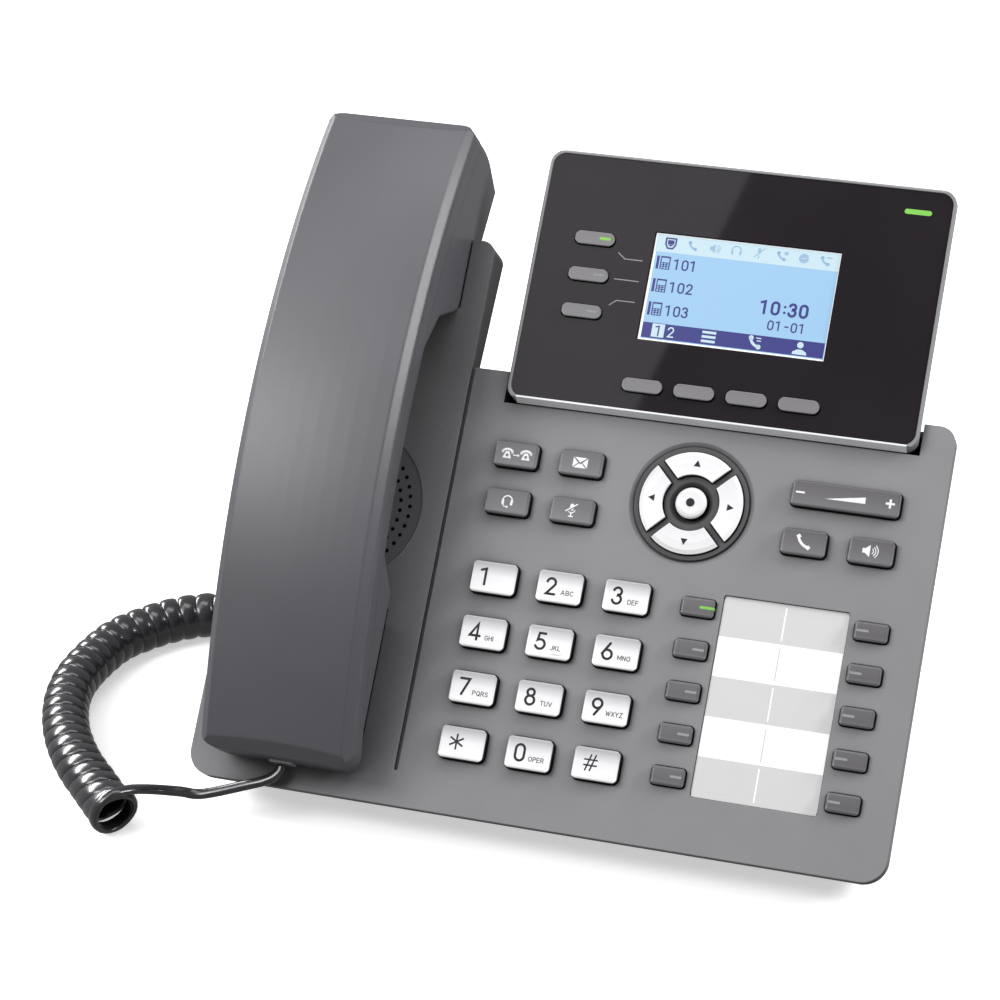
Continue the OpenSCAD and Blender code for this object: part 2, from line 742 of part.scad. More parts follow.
module display_frame() {
    color("gray") on_deck() difference() {
        intersection() {
            slab(pod_back, pod_h) span(pod_x0, pod_x1, pod_y0, pod_y1, pod_r);
            // the lower edge slopes from the panel down to the deck
            along_x(pod_x0, pod_x1) polygon([
                [pod_y0, pod_back], [pod_y1 - 0.6, pod_back], [pod_y1, pod_h - 0.6],
                [pod_y1 - 0.6, pod_h], [pod_y0 + strip_in, pod_h], [pod_y0, 0.6]
            ]);
            along_y(pod_y0, pod_y1) polygon([
                [pod_x0, pod_h - 0.5], [pod_x0 + 0.5, pod_h], [pod_x1 - 0.5, pod_h], [pod_x1, pod_h - 0.5],
                [pod_x1 - 0.6, pod_back], [pod_x0 + 0.6, pod_back]
            ]);
        }
        // seat of the black panel
        slab(panel_z - panel_t, pod_h + 1) panel_plan(0.05);
        // everything behind the panel
        slab(pod_back - 1, pod_h) panel_plan(-1.2);
    }
}

module panel_plan(grow = 0) {
    g = bezel - grow;
    span(pod_x0 + g, pod_x1 - g, pod_y0 + strip_in + 0.3 - grow, pod_y1 - g, pod_r - bezel);
}

// Black panel with a clear window; keys come up through it.
module display_panel() {
    color("black") on_deck() difference() {
        slab(panel_z - panel_t, panel_z) panel_plan(-0.05);
        for (i = [0:2]) translate(line_at(i)) key_hole(pill_w, pill_h, pill_h / 2);
        for (i = [0:3]) translate(soft_at(i)) key_hole(pill_w, pill_h, pill_h / 2);
        // window recess over the screen
        slab(panel_z - 0.5, pod_h + 1) translate([lcd_x, lcd_y]) rounded(lcd_w, lcd_h, 0.6);
    }
}

module lcd_module() {
    z = panel_z - panel_t - fit;
    color("lightskyblue") on_deck() translate([lcd_x, lcd_y]) {
        slab(z - lcd_t, z) rounded(lcd_w + 6, lcd_h + 6, 1);
        // connector and its fold under the glass
        slab(z - lcd_t - 1.5, z - lcd_t) rounded(30, 12, 1);
    }
}

// ---- Stand and feet ----

stand_y1 = 132; // upper edge of the stand's plate on the back
stand_y0 = 88;
hook_x = 52;
hook_slot_w = 14;
hook_slot_h = 4;
// World places of the stand's side view.
plate_lo = desk(stand_y0, -housing_d);
plate_hi = desk(stand_y1, -housing_d);
back_dir = [cos(tilt), sin(tilt)];
back_out = [sin(tilt), -cos(tilt)];
stand_rear = front_y + stand_reach;
stand_foot = 16; // length of the foot on the desk

// Inner corner between the plate and the leg, and the leg's lower inner corner.
plate_out = stand_t * back_out;
stand_nook = plate_hi + plate_out - 7 * back_dir;
leg_low = [stand_rear - stand_t - 3, pad_t + stand_t];

module stand_side() {
    polygon([
        plate_lo, plate_hi, plate_hi + plate_out, [stand_rear - 1, pad_t + 6], [stand_rear, pad_t + 1.5],
        [stand_rear, pad_t], [stand_rear - stand_foot, pad_t],
        [stand_rear - stand_foot, pad_t + stand_t - 1], leg_low, stand_nook, plate_lo + plate_out
    ]);
}

module foot_stand() {
    w = stand_w / 2;
    rib = 3;
    rib_len = 26;
    root = 1;
    rib_end = stand_nook + 0.45 * (leg_low - stand_nook);
    color("dimgray") difference() {
        union() {
            along_x(-w, w) stand_side();
            // gussets between the plate and the leg, rooted in both
            for (x = [-w, -rib / 2, w - rib]) along_x(x, x + rib) polygon([
                stand_nook + root * (back_dir - back_out), stand_nook - rib_len * back_dir - root * back_out,
                stand_nook - rib_len * back_dir, rib_end, rib_end + root * back_dir
            ]);
            // hooks that hold the stand in the back housing
            on_deck() for (s = [-1, 1]) slab(-housing_d - eps, -housing_d + wall + 0.6)
                translate([s * hook_x, stand_y1 - 6]) square([hook_slot_w, hook_slot_h], center = true);
        }
        // cable notch in the foot
        translate([0, stand_rear, 0]) rotate([90, 0, 0]) cylinder(h = 40, r = 11, center = true);
    }
}

// Front feet wrap the housing's lowest edge, and pads sit under the stand.
foot_w = 34;
module rubber_feet() {
    low = desk(rim_in + front_draft + 0.9, -housing_d);
    up = desk(rim_in + front_draft, -housing_d + back_cut);
    back = desk(rim_in + front_draft + 9, -housing_d);
    color("black") {
        for (x = [-half_w + 24, half_w - 24 - foot_w]) along_x(x, x + foot_w)
            polygon([up, low, back, [back[0], 0], [up[0] - 2, 0], [up[0] - 2, up[1] * 0.6]]);
        for (s = [-1, 1]) translate([s * (stand_w / 2 - 14), stand_rear - stand_foot / 2, 0])
            slab(0, pad_t) rounded(22, 12, 5);
    }
}

// ---- Handset ----

// Sweeps a section, drawn as radius and x, along the handset's arch, by half degrees each way.
module arch(half = 28) {
    translate([hs_x, hs_y, arch_z]) rotate([90, 0, 90]) rotate(90 - half)
        rotate_extrude(angle = 2 * half, $fn = 360) children();
}

module hs_plan(in = 0) {
    span(hs_x - hs_w / 2 + in, hs_x + hs_w / 2 - in, hs_y0 + in, hs_y1 - in, hs_r - in);
}

// Section of the outer shell's outside: flat sides, eased edges, chamfers and a crowned back.
module back_section(in = 0) {
    w = hs_w / 2 - in;
    top = arch_r - in;
    ease = 0.5;
    face = w - side_chamfer - ease; // half the width of the crowned face
    sides = [[part_r - in, w], [top - side_chamfer - 4 * ease, w], [top - side_chamfer, w - ease]];
    steps = 8;
    polygon(concat(
        [for (p = sides) [p[0], -p[1]]],
        [for (i = [0:steps]) let (x = face * (2 * i / steps - 1))
            [top + crown * (1 - pow(x / face, 2)), x]],
        [for (i = [2:-1:0]) sides[i]]
    ));
}

module handset_outer_shell() {
    end_n = arch_n(arch_r, hs_y0);
    color("dimgray") on_deck() difference() {
        intersection() {
            arch() back_section();
            slab(-20, 60) hs_plan();
            along_x(hs_x - hs_w, hs_x + hs_w) polygon([
                [hs_y0, -20], [hs_y1, -20], [hs_y1, end_n - end_chamfer * 0.8],
                [hs_y1 - 2.5 * end_chamfer, end_n + end_chamfer * 2.4], [hs_y1 - 40, 60],
                [hs_y0 + 40, 60], [hs_y0 + 2.5 * end_chamfer, end_n + end_chamfer * 2.4], [hs_y0, end_n - end_chamfer * 0.8]
            ]);
        }
        intersection() {
            arch() back_section(hs_wall);
            slab(-20, 60) hs_plan(hs_wall);
        }
    }
}

// Everything under the line where the shells meet.
module under_parting() {
    translate([hs_x, hs_y, arch_z]) rotate([90, 0, 90])
        cylinder(h = hs_w + 2, r = part_r, center = true, $fn = 360);
}

// Points along an arc round p, from angle a0 to a1.
function turned(p, r, a0, a1, n) = [
    for (i = [0:n]) let (a = a0 + (a1 - a0) * i / n) p + r * [cos(a), sin(a)]
];

// Side views of the two ends, up to above the parting line.
module ear_side() {
    polygon(concat(
        [[hs_y1, 50], [hs_y1, arch_n(part_r, hs_y1) - 0.5], ear_a],
        turned(nose_c, nose_r, 270 + ear_tilt, 196, 7),
        [nose_top, [nose_top[0] - 13.5, 29.2], [nose_top[0] - 30, 50]]
    ));
}

module mouth_side() {
    polygon(concat(
        [[hs_y0, 50], [hs_y0, arch_n(part_r, hs_y0) - 1], [mouth_a[0] - 1.6, mouth_a[1] + 1.5], mouth_a],
        turned([mouth_b[0], mouth_b[1] + 8], 8, -90, -15, 5),
        [[mouth_b[0] + 22, 24], [mouth_b[0] + 40, 50]]
    ));
}

module handset_inner_shell() {
    w = hs_w / 2 - inner_in;
    // front view of the mouth end: its sides draw in below the parting line
    mouth_front = [
        [hs_x - w, 60], [hs_x - w, 13], [hs_x - mouth_w / 2, mouth_b[1]],
        [hs_x + mouth_w / 2, mouth_b[1]], [hs_x + w, 13], [hs_x + w, 60]
    ];
    color("dimgray") on_deck() difference() {
        intersection() {
            union() {
                arch() polygon([
                    [part_r - 1.4, -w], [part_r + 1, -w], [part_r + 1, w], [part_r - 1.4, w],
                    [grip_r + 1.2, w - 6], [grip_r, w - 9], [grip_r, 9 - w], [grip_r + 1.2, 6 - w]
                ]);
                along_x(hs_x - w, hs_x + w) ear_side();
                intersection() {
                    along_x(hs_x - w, hs_x + w) mouth_side();
                    along_y(hs_y0, hs_y1) polygon(mouth_front);
                }
            }
            under_parting();
            slab(-30, 60) hs_plan(inner_in);
        }
        // dished ear cap, and the pocket for the receiver
        on_ear() {
            translate([0, 0, -1]) cylinder(h = 2.4, r1 = 14, r2 = 8);
            translate([0, 0, 4]) cylinder(h = 60, r = receiver_r + fit);
            for (i = [0:5]) rotate(60 * i) translate([6, 0, -1]) cylinder(h = 8, r = 1.2);
            translate([0, 0, -1]) cylinder(h = 8, r = 1.2);
        }
        // pocket and sound holes for the microphone
        on_mouth() {
            translate([0, 0, 2]) cylinder(h = 60, r = mic_r + fit);
            for (i = [-1:1]) translate([4 * i, 0, -5]) cylinder(h = 10, r = 0.8);
        }
        // hollow of the grip
        arch(asin((hs_len / 2 - hs_wall - 2) / part_r)) polygon([
            [grip_r + 2, 8 - w], [part_r + 2, 4 - w], [part_r + 2, w - 4], [grip_r + 2, w - 8]
        ]);
        // socket for the plug
        translate([plug_x, plug_y, plug_n]) along_y(-6, plug_len + 1)
            square([plug_w + 0.2, plug_t + 0.2], center = true);
    }
}

// Frame on the ear cap's middle, z into the handset.
module on_ear() {
    translate([hs_x, ear_mid[0], ear_mid[1]]) rotate([ear_tilt, 0, 0]) children();
}

module on_mouth() {
    translate([hs_x, mouth_mid[0], mouth_n(mouth_mid[0])]) rotate([atan(mouth_slope), 0, 0]) children();
}

module handset_capsules() {
    color("silver") on_deck() {
        on_ear() translate([0, 0, 4]) {
            cylinder(h = 6, r = receiver_r);
            cylinder(h = 9, r = receiver_r * 0.45);
        }
        on_mouth() translate([0, 0, 2]) cylinder(h = 4, r = mic_r);
    }
}

// Modular plug, with its outer end on the plane y = 0.
module plug() {
    along_y(0, plug_len) square([plug_w, plug_t], center = true);
}

module handset_plug() {
    color("lightgray") on_deck() translate([plug_x, plug_y, plug_n]) plug();
}

module base_plug() {
    color("lightgray") on_deck() translate([cord_jack_x, jack_y, -housing_d - base_plug_out])
        rotate([90, 0, 0]) plug();
}

// The plunger's top follows the handset's nose, and the nose holds it down.
module hook_switch() {
    y0 = hook_y - hook_h / 2;
    y1 = hook_y + hook_h / 2;
    gap = fit * 1.5;
    color("gray") on_deck() {
        along_x(hs_x - hook_w / 2, hs_x + hook_w / 2)
            polygon([[y0, nose_n(y0) - gap], [y1, nose_n(y1) - gap], [y1, hook_z], [y0, hook_z]]);
        along_x(hs_x - hook_w / 2 - 2, hs_x + hook_w / 2 + 2) span(y0 - 2, y1 + 2, hook_z, hook_z + 1.5);
    }
}

// ---- Cord ----

function unit(v) = v / norm(v);
// Point at u on a smooth curve through the points p; whole values of u are the points.
function on_curve(p, u) =
    let (
        n = len(p) - 1,
        i = min(floor(u), n - 1),
        t = u - i,
        a = i > 0 ? p[i - 1] : 2 * p[0] - p[1],
        b = p[i],
        c = p[i + 1],
        d = i + 2 <= n ? p[i + 2] : 2 * p[n] - p[n - 1]
    )
    0.5 * (
        2 * b + (c - a) * t + (2 * a - 5 * b + 4 * c - d) * t * t
        + (3 * b - a - 3 * c + d) * t * t * t
    );

// Round tube of radius r through the points p, with a number of rings to each stretch.
module tube(p, r, sides, rings) {
    n = (len(p) - 1) * rings;
    mid = [for (i = [0:n]) on_curve(p, i / rings)];
    frames = [for (i = [0:n]) let (
        t = unit(mid[min(i + 1, n)] - mid[max(i - 1, 0)]),
        s = unit(cross(t, [0, 0, 1]))
    ) [s, cross(s, t)]];
    points = [for (i = [0:n], j = [0:sides - 1]) let (a = 360 * (j + 0.5) / sides)
        mid[i] + r * (cos(a) * frames[i][0] + sin(a) * frames[i][1])];
    walls = [for (i = [0:n - 1], j = [0:sides - 1]) let (k = (j + 1) % sides)
        [i * sides + j, i * sides + k, (i + 1) * sides + k, (i + 1) * sides + j]];
    caps = [[for (j = [sides - 1:-1:0]) j], [for (j = [0:sides - 1]) n * sides + j]];
    polyhedron(points, concat(walls, caps), convexity = 6);
}

// The curly part: one tube of its outer diameter, lying on the desk.
module cord_coil() {
    r = coil_od / 2;
    color("black") tube([for (p = coil_route) [p[0], p[1], r]], r, 12, 2);
}

module cord_leads() {
    color("black") {
        tube(lead_route, cord_d / 2, 8, 2);
        tube(tail_route, cord_d / 2, 8, 2);
    }
}

// ---- The nodes ----

top_cover();
rear_cover();
speaker_grille();
loudspeaker();
circuit_board();
key_mat();
display_frame();
display_panel();
lcd_module();
foot_stand();
rubber_feet();
handset_outer_shell();
handset_inner_shell();
handset_capsules();
hook_switch();
cord_coil();
cord_leads();
handset_plug();
base_plug();
nav_key_ok();
volume_rocker();
for (i = [0:11]) dial_key(i);
for (i = [0:3]) nav_key(i);
for (i = [0:3]) func_key(i);
for (i = [0:1]) right_key(i);
for (i = [0:9]) quick_key(i);
for (i = [0:2]) line_key(i);
for (i = [0:3]) soft_key(i);
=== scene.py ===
"""Desk IP phone: looks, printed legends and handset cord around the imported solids."""

import math

import bpy
from mathutils import Matrix, Vector


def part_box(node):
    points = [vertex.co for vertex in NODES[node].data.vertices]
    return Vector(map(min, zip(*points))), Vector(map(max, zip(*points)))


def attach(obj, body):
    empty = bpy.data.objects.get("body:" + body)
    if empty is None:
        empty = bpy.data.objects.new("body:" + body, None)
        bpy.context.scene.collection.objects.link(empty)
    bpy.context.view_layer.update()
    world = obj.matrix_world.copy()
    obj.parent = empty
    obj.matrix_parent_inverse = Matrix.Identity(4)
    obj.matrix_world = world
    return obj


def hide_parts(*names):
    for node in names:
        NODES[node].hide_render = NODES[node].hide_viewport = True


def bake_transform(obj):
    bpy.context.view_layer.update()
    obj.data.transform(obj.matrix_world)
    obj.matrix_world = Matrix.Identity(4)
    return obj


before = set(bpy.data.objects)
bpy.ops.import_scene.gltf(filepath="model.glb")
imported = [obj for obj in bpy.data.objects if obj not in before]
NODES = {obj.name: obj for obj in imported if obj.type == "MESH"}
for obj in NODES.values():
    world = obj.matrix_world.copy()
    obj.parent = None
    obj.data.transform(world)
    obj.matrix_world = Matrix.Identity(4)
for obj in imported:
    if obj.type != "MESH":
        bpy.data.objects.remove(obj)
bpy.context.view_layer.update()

# ---- The key deck's frame: x right, s up the slope, n out of the deck, in mm ----

MM = 0.001
TILT = math.radians(50)
RIGHT = Vector((1, 0, 0))
UP = Vector((0, math.cos(TILT), math.sin(TILT)))
OUT = Vector((0, -math.sin(TILT), math.cos(TILT)))
# From the stand's back to the deck's front edge, and that edge's height, in m.
STAND_TO_FRONT, DECK_LIFT = 0.1505, 0.014
FRONT = Vector((0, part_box("foot_stand")[1].y - STAND_TO_FRONT, DECK_LIFT))


def deck(x, s, n=0.0):
    return FRONT + (RIGHT * x + UP * s + OUT * n) * MM


def added(name, data):
    """A new object in the scene."""
    made = bpy.data.objects.new(name, data)
    bpy.context.collection.objects.link(made)
    return made


# ---- Camera ----

AZIMUTH, ELEVATION = math.radians(16.70), math.radians(27.25)
EYE_SIDE, EYE_TOP, EYE_BACK = -0.00778, 0.10372, 1.00037  # from the deck's front edge, in m
side = Vector((math.cos(AZIMUTH), math.sin(AZIMUTH), 0))
back = Vector((
    math.sin(AZIMUTH) * math.cos(ELEVATION),
    -math.cos(AZIMUTH) * math.cos(ELEVATION),
    math.sin(ELEVATION),
))
top = back.cross(side)
EYE = FRONT + side * EYE_SIDE + top * EYE_TOP + back * EYE_BACK
camera_data = bpy.data.cameras.new("camera")
camera_data.sensor_width = 36
camera_data.lens = 113.68
camera = added("camera", camera_data)
camera.matrix_world = Matrix((
    (side.x, top.x, back.x, EYE.x),
    (side.y, top.y, back.y, EYE.y),
    (side.z, top.z, back.z, EYE.z),
    (0, 0, 0, 1),
))
bpy.context.scene.camera = camera

# ---- Materials ----


def srgb(r, g, b):
    """Linear colour of an 8-bit one."""
    return tuple(
        c / 12.92 if c <= 0.04045 else ((c + 0.055) / 1.055) ** 2.4
        for c in (r / 255, g / 255, b / 255)
    )


COAT_ROUGH = 0.08
BEVEL_SAMPLES, SHADE_SAMPLES = 6, 8


def grey(value):
    """A linear grey."""
    return (value,) * 3


class Paint:
    """A material, with the few nodes that all of these are made of."""

    def __init__(self, name, rough, spec=0.5, coat=0.0):
        self.material = bpy.data.materials.new(name)
        self.material.use_nodes = True
        self.tree = self.material.node_tree
        self.shader = self.tree.nodes["Principled BSDF"]
        self.shader.inputs["Roughness"].default_value = rough
        self.shader.inputs["Specular IOR Level"].default_value = spec
        self.shader.inputs["Coat Weight"].default_value = coat
        self.shader.inputs["Coat Roughness"].default_value = COAT_ROUGH
        self.coords = self.node("ShaderNodeTexCoord")
        self.rounding = None

    def node(self, kind, **settings):
        made = self.tree.nodes.new(kind)
        for key, value in settings.items():
            setattr(made, key, value)
        return made

    def link(self, a, b):
        self.tree.links.new(a, b)

    def noise(self, size, detail):
        """Noise with features of about size metres."""
        made = self.node("ShaderNodeTexNoise")
        made.inputs["Scale"].default_value = 1 / size
        made.inputs["Detail"].default_value = detail
        self.link(self.coords.outputs["Object"], made.inputs["Vector"])
        return made.outputs["Fac"]

    def ramp(self, value, stops):
        """Colour ramp over value; stops are (position, linear colour)."""
        made = self.node("ShaderNodeValToRGB")
        elements = made.color_ramp.elements
        while len(elements) < len(stops):
            elements.new(0.5)
        for element, (position, colour) in zip(elements, stops):
            element.position = position
            element.color = (*colour, 1)
        self.link(value, made.inputs["Fac"])
        return made.outputs["Color"]

    def spread(self, value, low, high, start=0.0, end=1.0):
        """Maps start..end of a value to low..high."""
        made = self.node("ShaderNodeMapRange")
        for key, v in zip(("From Min", "From Max", "To Min", "To Max"), (start, end, low, high)):
            made.inputs[key].default_value = v
        self.link(value, made.inputs["Value"])
        return made.outputs["Result"]

    def mix(self, share, a, b, mode="MIX"):
        """Mixes two colour outputs, or a colour output and a plain colour."""
        made = self.node("ShaderNodeMix", data_type="RGBA", blend_type=mode)
        for value, key in ((share, "Factor"), (a, "A"), (b, "B")):
            socket = made.inputs[key]
            if isinstance(value, bpy.types.NodeSocket):
                self.link(value, socket)
            elif isinstance(value, tuple):
                socket.default_value = (*value, 1)
            else:
                socket.default_value = value
        return made.outputs["Result"]

    def along(self, direction, start):
        """Distance in mm along a direction from a point."""
        made = self.node("ShaderNodeVectorMath", operation="DOT_PRODUCT")
        self.link(self.coords.outputs["Object"], made.inputs[0])
        made.inputs[1].default_value = direction / MM
        shift = self.node("ShaderNodeMath", operation="SUBTRACT")
        self.link(made.outputs["Value"], shift.inputs[0])
        shift.inputs[1].default_value = start.dot(direction) / MM
        return shift.outputs["Value"]

    def colour(self, output):
        self.link(output, self.shader.inputs["Base Color"])

    def rough(self, value, low, high):
        """Lets the roughness follow a value of 0..1."""
        self.link(self.spread(value, low, high), self.shader.inputs["Roughness"])

    def soften(self, radius):
        """Shades the edges as if rounded to this radius in metres; comes before bump."""
        self.rounding = self.node("ShaderNodeBevel", samples=BEVEL_SAMPLES)
        self.rounding.inputs["Radius"].default_value = radius
        self.link(self.rounding.outputs["Normal"], self.shader.inputs["Normal"])

    def bump(self, value, strength, depth=0.00002):
        made = self.node("ShaderNodeBump")
        if self.rounding:
            self.link(self.rounding.outputs["Normal"], made.inputs["Normal"])
        made.inputs["Strength"].default_value = strength
        made.inputs["Distance"].default_value = depth
        self.link(value, made.inputs["Height"])
        self.link(made.outputs["Normal"], self.shader.inputs["Normal"])


def shades(colour, share):
    """A colour a share darker, and the same share lighter."""
    return [tuple(min(1, c * k) for c in colour) for k in (1 - share, 1 + share)]


def plastic(name, colour, rough, grain=0.0006, bump=0.25, spec=0.4, coat=0.0, edge=0.0):
    """Moulded plastic with a fine spark-eroded grain; edge softens its edges by that radius in metres."""
    p = Paint(name, rough, spec, coat)
    if edge:
        p.soften(edge)
    dark, light = shades(colour, 0.05)
    p.colour(p.ramp(p.noise(0.03, 3), [(0.3, dark), (0.7, light)]))
    fine = p.noise(grain, 3)
    p.rough(fine, rough - 0.06, rough + 0.08)
    p.bump(fine, bump)
    return p


BODY = srgb(134, 133, 136)
# Near-black keycap sides: painted shade.
SIDE_SHADE = srgb(24, 21, 24)

body_grey = plastic("housing_plastic", BODY, 0.55, bump=0.35, edge=0.0005)
back_grey = plastic("back_plastic", srgb(96, 96, 100), 0.6, grain=0.0008, bump=0.5)
handset_grey = plastic(
    "handset_plastic", srgb(84, 83, 88), 0.37, grain=0.0007, bump=0.4, spec=0.55, edge=0.0012,
)
grille_grey = plastic("grille_plastic", srgb(80, 80, 84), 0.5)
speaker_black = plastic("speaker_black", srgb(30, 30, 30), 0.7, grain=0.002, bump=0.6)
hook_grey = plastic("hook_plastic", srgb(92, 92, 96), 0.5)
rubber = plastic("foot_rubber", srgb(34, 34, 35), 0.85, grain=0.0005, bump=0.6, spec=0.2)
silicone = plastic("mat_silicone", srgb(188, 188, 190), 0.6, grain=0.001, bump=0.2)
capsule_metal = plastic("capsule_metal", srgb(190, 190, 192), 0.35, grain=0.0004, bump=0.3)
capsule_metal.shader.inputs["Metallic"].default_value = 1.0
clear_plastic = plastic("plug_clear", srgb(196, 200, 204), 0.12, grain=0.003, bump=0.05, coat=0.6)


def board_material():
    """Green board with paler traces, and near-black jacks behind it."""
    p = Paint("circuit_board", 0.4)
    cells = p.node("ShaderNodeTexVoronoi", feature="DISTANCE_TO_EDGE")
    cells.inputs["Scale"].default_value = 400
    p.link(p.coords.outputs["Object"], cells.inputs["Vector"])
    traces = p.ramp(cells.outputs["Distance"], [(0.02, srgb(70, 130, 80)), (0.06, srgb(22, 84, 44))])
    depth = p.along(OUT, FRONT)
    is_jack = p.spread(depth, 1, 0, -10.2, -9.8)  # the jacks stand on the board's back
    p.colour(p.mix(is_jack, traces, srgb(28, 28, 30)))
    p.bump(cells.outputs["Distance"], 0.3)
    return p


def key_material(name, stops, top_n, rough=0.38, coat=0.15):
    """Keycap: a face with painted shade graded up the key, over sides painted near-black as shade; top_n is
    the height in mm where they meet.
    """
    p = Paint(name, rough, 0.45, coat)
    generated = p.node("ShaderNodeSeparateXYZ")
    p.link(p.coords.outputs["Generated"], generated.inputs["Vector"])
    # Painted shade: the face's colour is graded up the key by the stops.
    face = p.ramp(generated.outputs["Z"], stops)
    cloud = p.ramp(p.noise(0.006, 2), [(0.3, grey(0.97)), (0.7, grey(1))])
    face = p.mix(1.0, face, cloud, "MULTIPLY")
    height = p.along(OUT, FRONT)
    is_face = p.spread(height, 0, 1, top_n - 0.12, top_n + 0.12)
    p.colour(p.mix(is_face, SIDE_SHADE, face))
    fine = p.noise(0.0005, 2)
    p.rough(fine, rough - 0.04, rough + 0.06)
    p.bump(fine, 0.12)
    return p


# The stops paint shade onto the key faces, graded up each key.
white_key = key_material("white_key", [
    (0.42, srgb(252, 252, 253)), (0.74, srgb(236, 236, 238)), (0.98, srgb(172, 172, 176)),
], 2.42)
dark_key = key_material("dark_key", [
    (0.4, srgb(118, 117, 120)), (0.7, srgb(104, 102, 106)), (0.98, srgb(92, 90, 94)),
], 2.2)
quick_key = key_material("quick_key", [
    (0.4, srgb(122, 120, 123)), (0.65, srgb(92, 90, 93)), (0.98, srgb(100, 98, 101)),
], 1.35)
pill_key = key_material("pill_key", [
    (0.4, srgb(122, 120, 123)), (0.98, srgb(118, 116, 119)),
], 4.25, coat=0.0)
nav_key = key_material("nav_key", [(0.2, srgb(250, 250, 250)), (0.95, srgb(226, 226, 229))], 0.6)


def panel_material():
    """Black polished panel with the very faint orange peel of moulded acrylic."""
    p = Paint("display_panel", 0.03, 0.2)
    p.colour(p.ramp(p.noise(0.05, 2), [(0.35, srgb(33, 29, 33)), (0.65, srgb(37, 33, 37))]))
    p.rough(p.noise(0.004, 3), 0.02, 0.04)
    p.bump(p.noise(0.02, 1), 0.02, 0.00004)
    return p


def cord_material():
    """Glossy black vinyl, a little uneven."""
    p = Paint("cord_vinyl", 0.22, 0.7, 0.4)
    p.colour(p.ramp(p.noise(0.01, 3), [(0.3, srgb(34, 32, 36)), (0.7, srgb(48, 46, 50))]))
    p.rough(p.noise(0.003, 3), 0.18, 0.32)
    p.bump(p.noise(0.0025, 2), 0.12, 0.00003)
    return p


def printed(name, colour, rough=0.45, glow=0.0, vary=0.03, share=1.0):
    """Ink, a lit window or a print, slightly uneven; share is the part of its colour that is reflected."""
    p = Paint(name, rough, 0.3)
    low, high = shades([c * share for c in colour], vary)
    p.colour(p.ramp(p.noise(0.0012, 3), [(0.3, low), (0.7, high)]))
    if glow:
        p.shader.inputs["Emission Color"].default_value = (*colour, 1)
        p.shader.inputs["Emission Strength"].default_value = glow
    return p


ink = printed("legend_ink", srgb(24, 22, 26))
grey_ink = printed("letter_ink", srgb(66, 64, 68))
white_ink = printed("icon_ink", srgb(238, 238, 240))
line_ink = printed("leader_ink", srgb(150, 150, 152))
green = printed("led_green", srgb(128, 196, 84), 0.3, glow=0.25, share=0.8)
led_off = printed("led_off", srgb(150, 149, 152), 0.3)
pill_led = printed("pill_led_off", srgb(140, 139, 142), 0.3)
# The label's white glows a little even though it is paper: painted light.
label_white_painted_glow = printed("label_white_painted_glow", srgb(253, 253, 253), 0.35, glow=0.1, vary=0.004)
label_grey = printed("label_grey", srgb(211, 211, 212), 0.35, vary=0.01)
lcd_field = printed("lcd_field", srgb(163, 205, 239), 0.25, glow=0.45, vary=0.01, share=0.5)
lcd_pale = printed("lcd_pale", srgb(205, 230, 241), 0.25, glow=0.45, vary=0.01, share=0.5)
lcd_faint = printed("lcd_faint", srgb(160, 192, 222), 0.25, glow=0.45, vary=0.01, share=0.5)
lcd_dark = printed("lcd_dark", srgb(66, 68, 140), 0.25, glow=0.3, vary=0.02, share=0.6)
strip_silver = plastic("strip_silver", srgb(236, 236, 238), 0.25, grain=0.0008, bump=0.1, spec=0.6)
panel_black = panel_material()
cord_black = cord_material()

# Places on the deck in mm, as in the part's source: the groove beside the cradle column, the housing's
# right side, and the middle of the navigation ring.
GROOVE, EDGE = -45.4, 115
NAV = (GROOVE + 80, 111.2)
WELL_SHADE_INNER, WELL_SHADE_OUTER = 16, 22  # radii between which the painted shade of the navigation keys' well fades out to the deck's colour
SHADE_REACH = 0.07  # in metres: painted shade darkens the housing wherever a part stands closer than this


def cover_material():
    """The housing plastic, with painted shade in the navigation keys' well and painted shade wherever parts
    stand close over it, such as the handset.
    """
    p = plastic("cover_plastic_painted_shade", BODY, 0.55, bump=0.35, edge=0.0005)
    centre = deck(*NAV)
    flat = p.node("ShaderNodeCombineXYZ")
    p.link(p.along(RIGHT, centre), flat.inputs["X"])
    p.link(p.along(UP, centre), flat.inputs["Y"])
    reach = p.node("ShaderNodeVectorMath", operation="LENGTH")
    p.link(flat.outputs["Vector"], reach.inputs[0])
    depth = p.along(OUT, FRONT)
    # Painted shade: the well and the deck between the navigation keys are darkened as if shaded.
    painted_well_shade = p.ramp(p.spread(reach.outputs["Value"], 0, 1, WELL_SHADE_INNER, WELL_SHADE_OUTER), [
        (0.0, grey(0.3)), (0.42, grey(0.3)), (0.46, grey(0.62)), (0.72, grey(0.8)), (0.76, grey(1)),
    ])
    near = p.spread(depth, 0, 1, -3.5, -3.0)
    shade = p.mix(near, (1, 1, 1), painted_well_shade)
    # Painted shade: ambient occlusion darkens the colour where parts stand close, such as beside and under
    # the handset.
    occlusion = p.node("ShaderNodeAmbientOcclusion", samples=SHADE_SAMPLES)
    occlusion.inputs["Distance"].default_value = SHADE_REACH
    painted_occlusion_shade = p.ramp(occlusion.outputs["AO"], [
        (0.0, grey(0.25)), (0.4, grey(0.42)), (0.55, grey(0.46)), (0.66, grey(0.85)), (0.74, grey(1)),
    ])
    base = p.shader.inputs["Base Color"].links[0].from_socket
    p.colour(p.mix(1.0, p.mix(1.0, base, shade, "MULTIPLY"), painted_occlusion_shade, "MULTIPLY"))
    return p


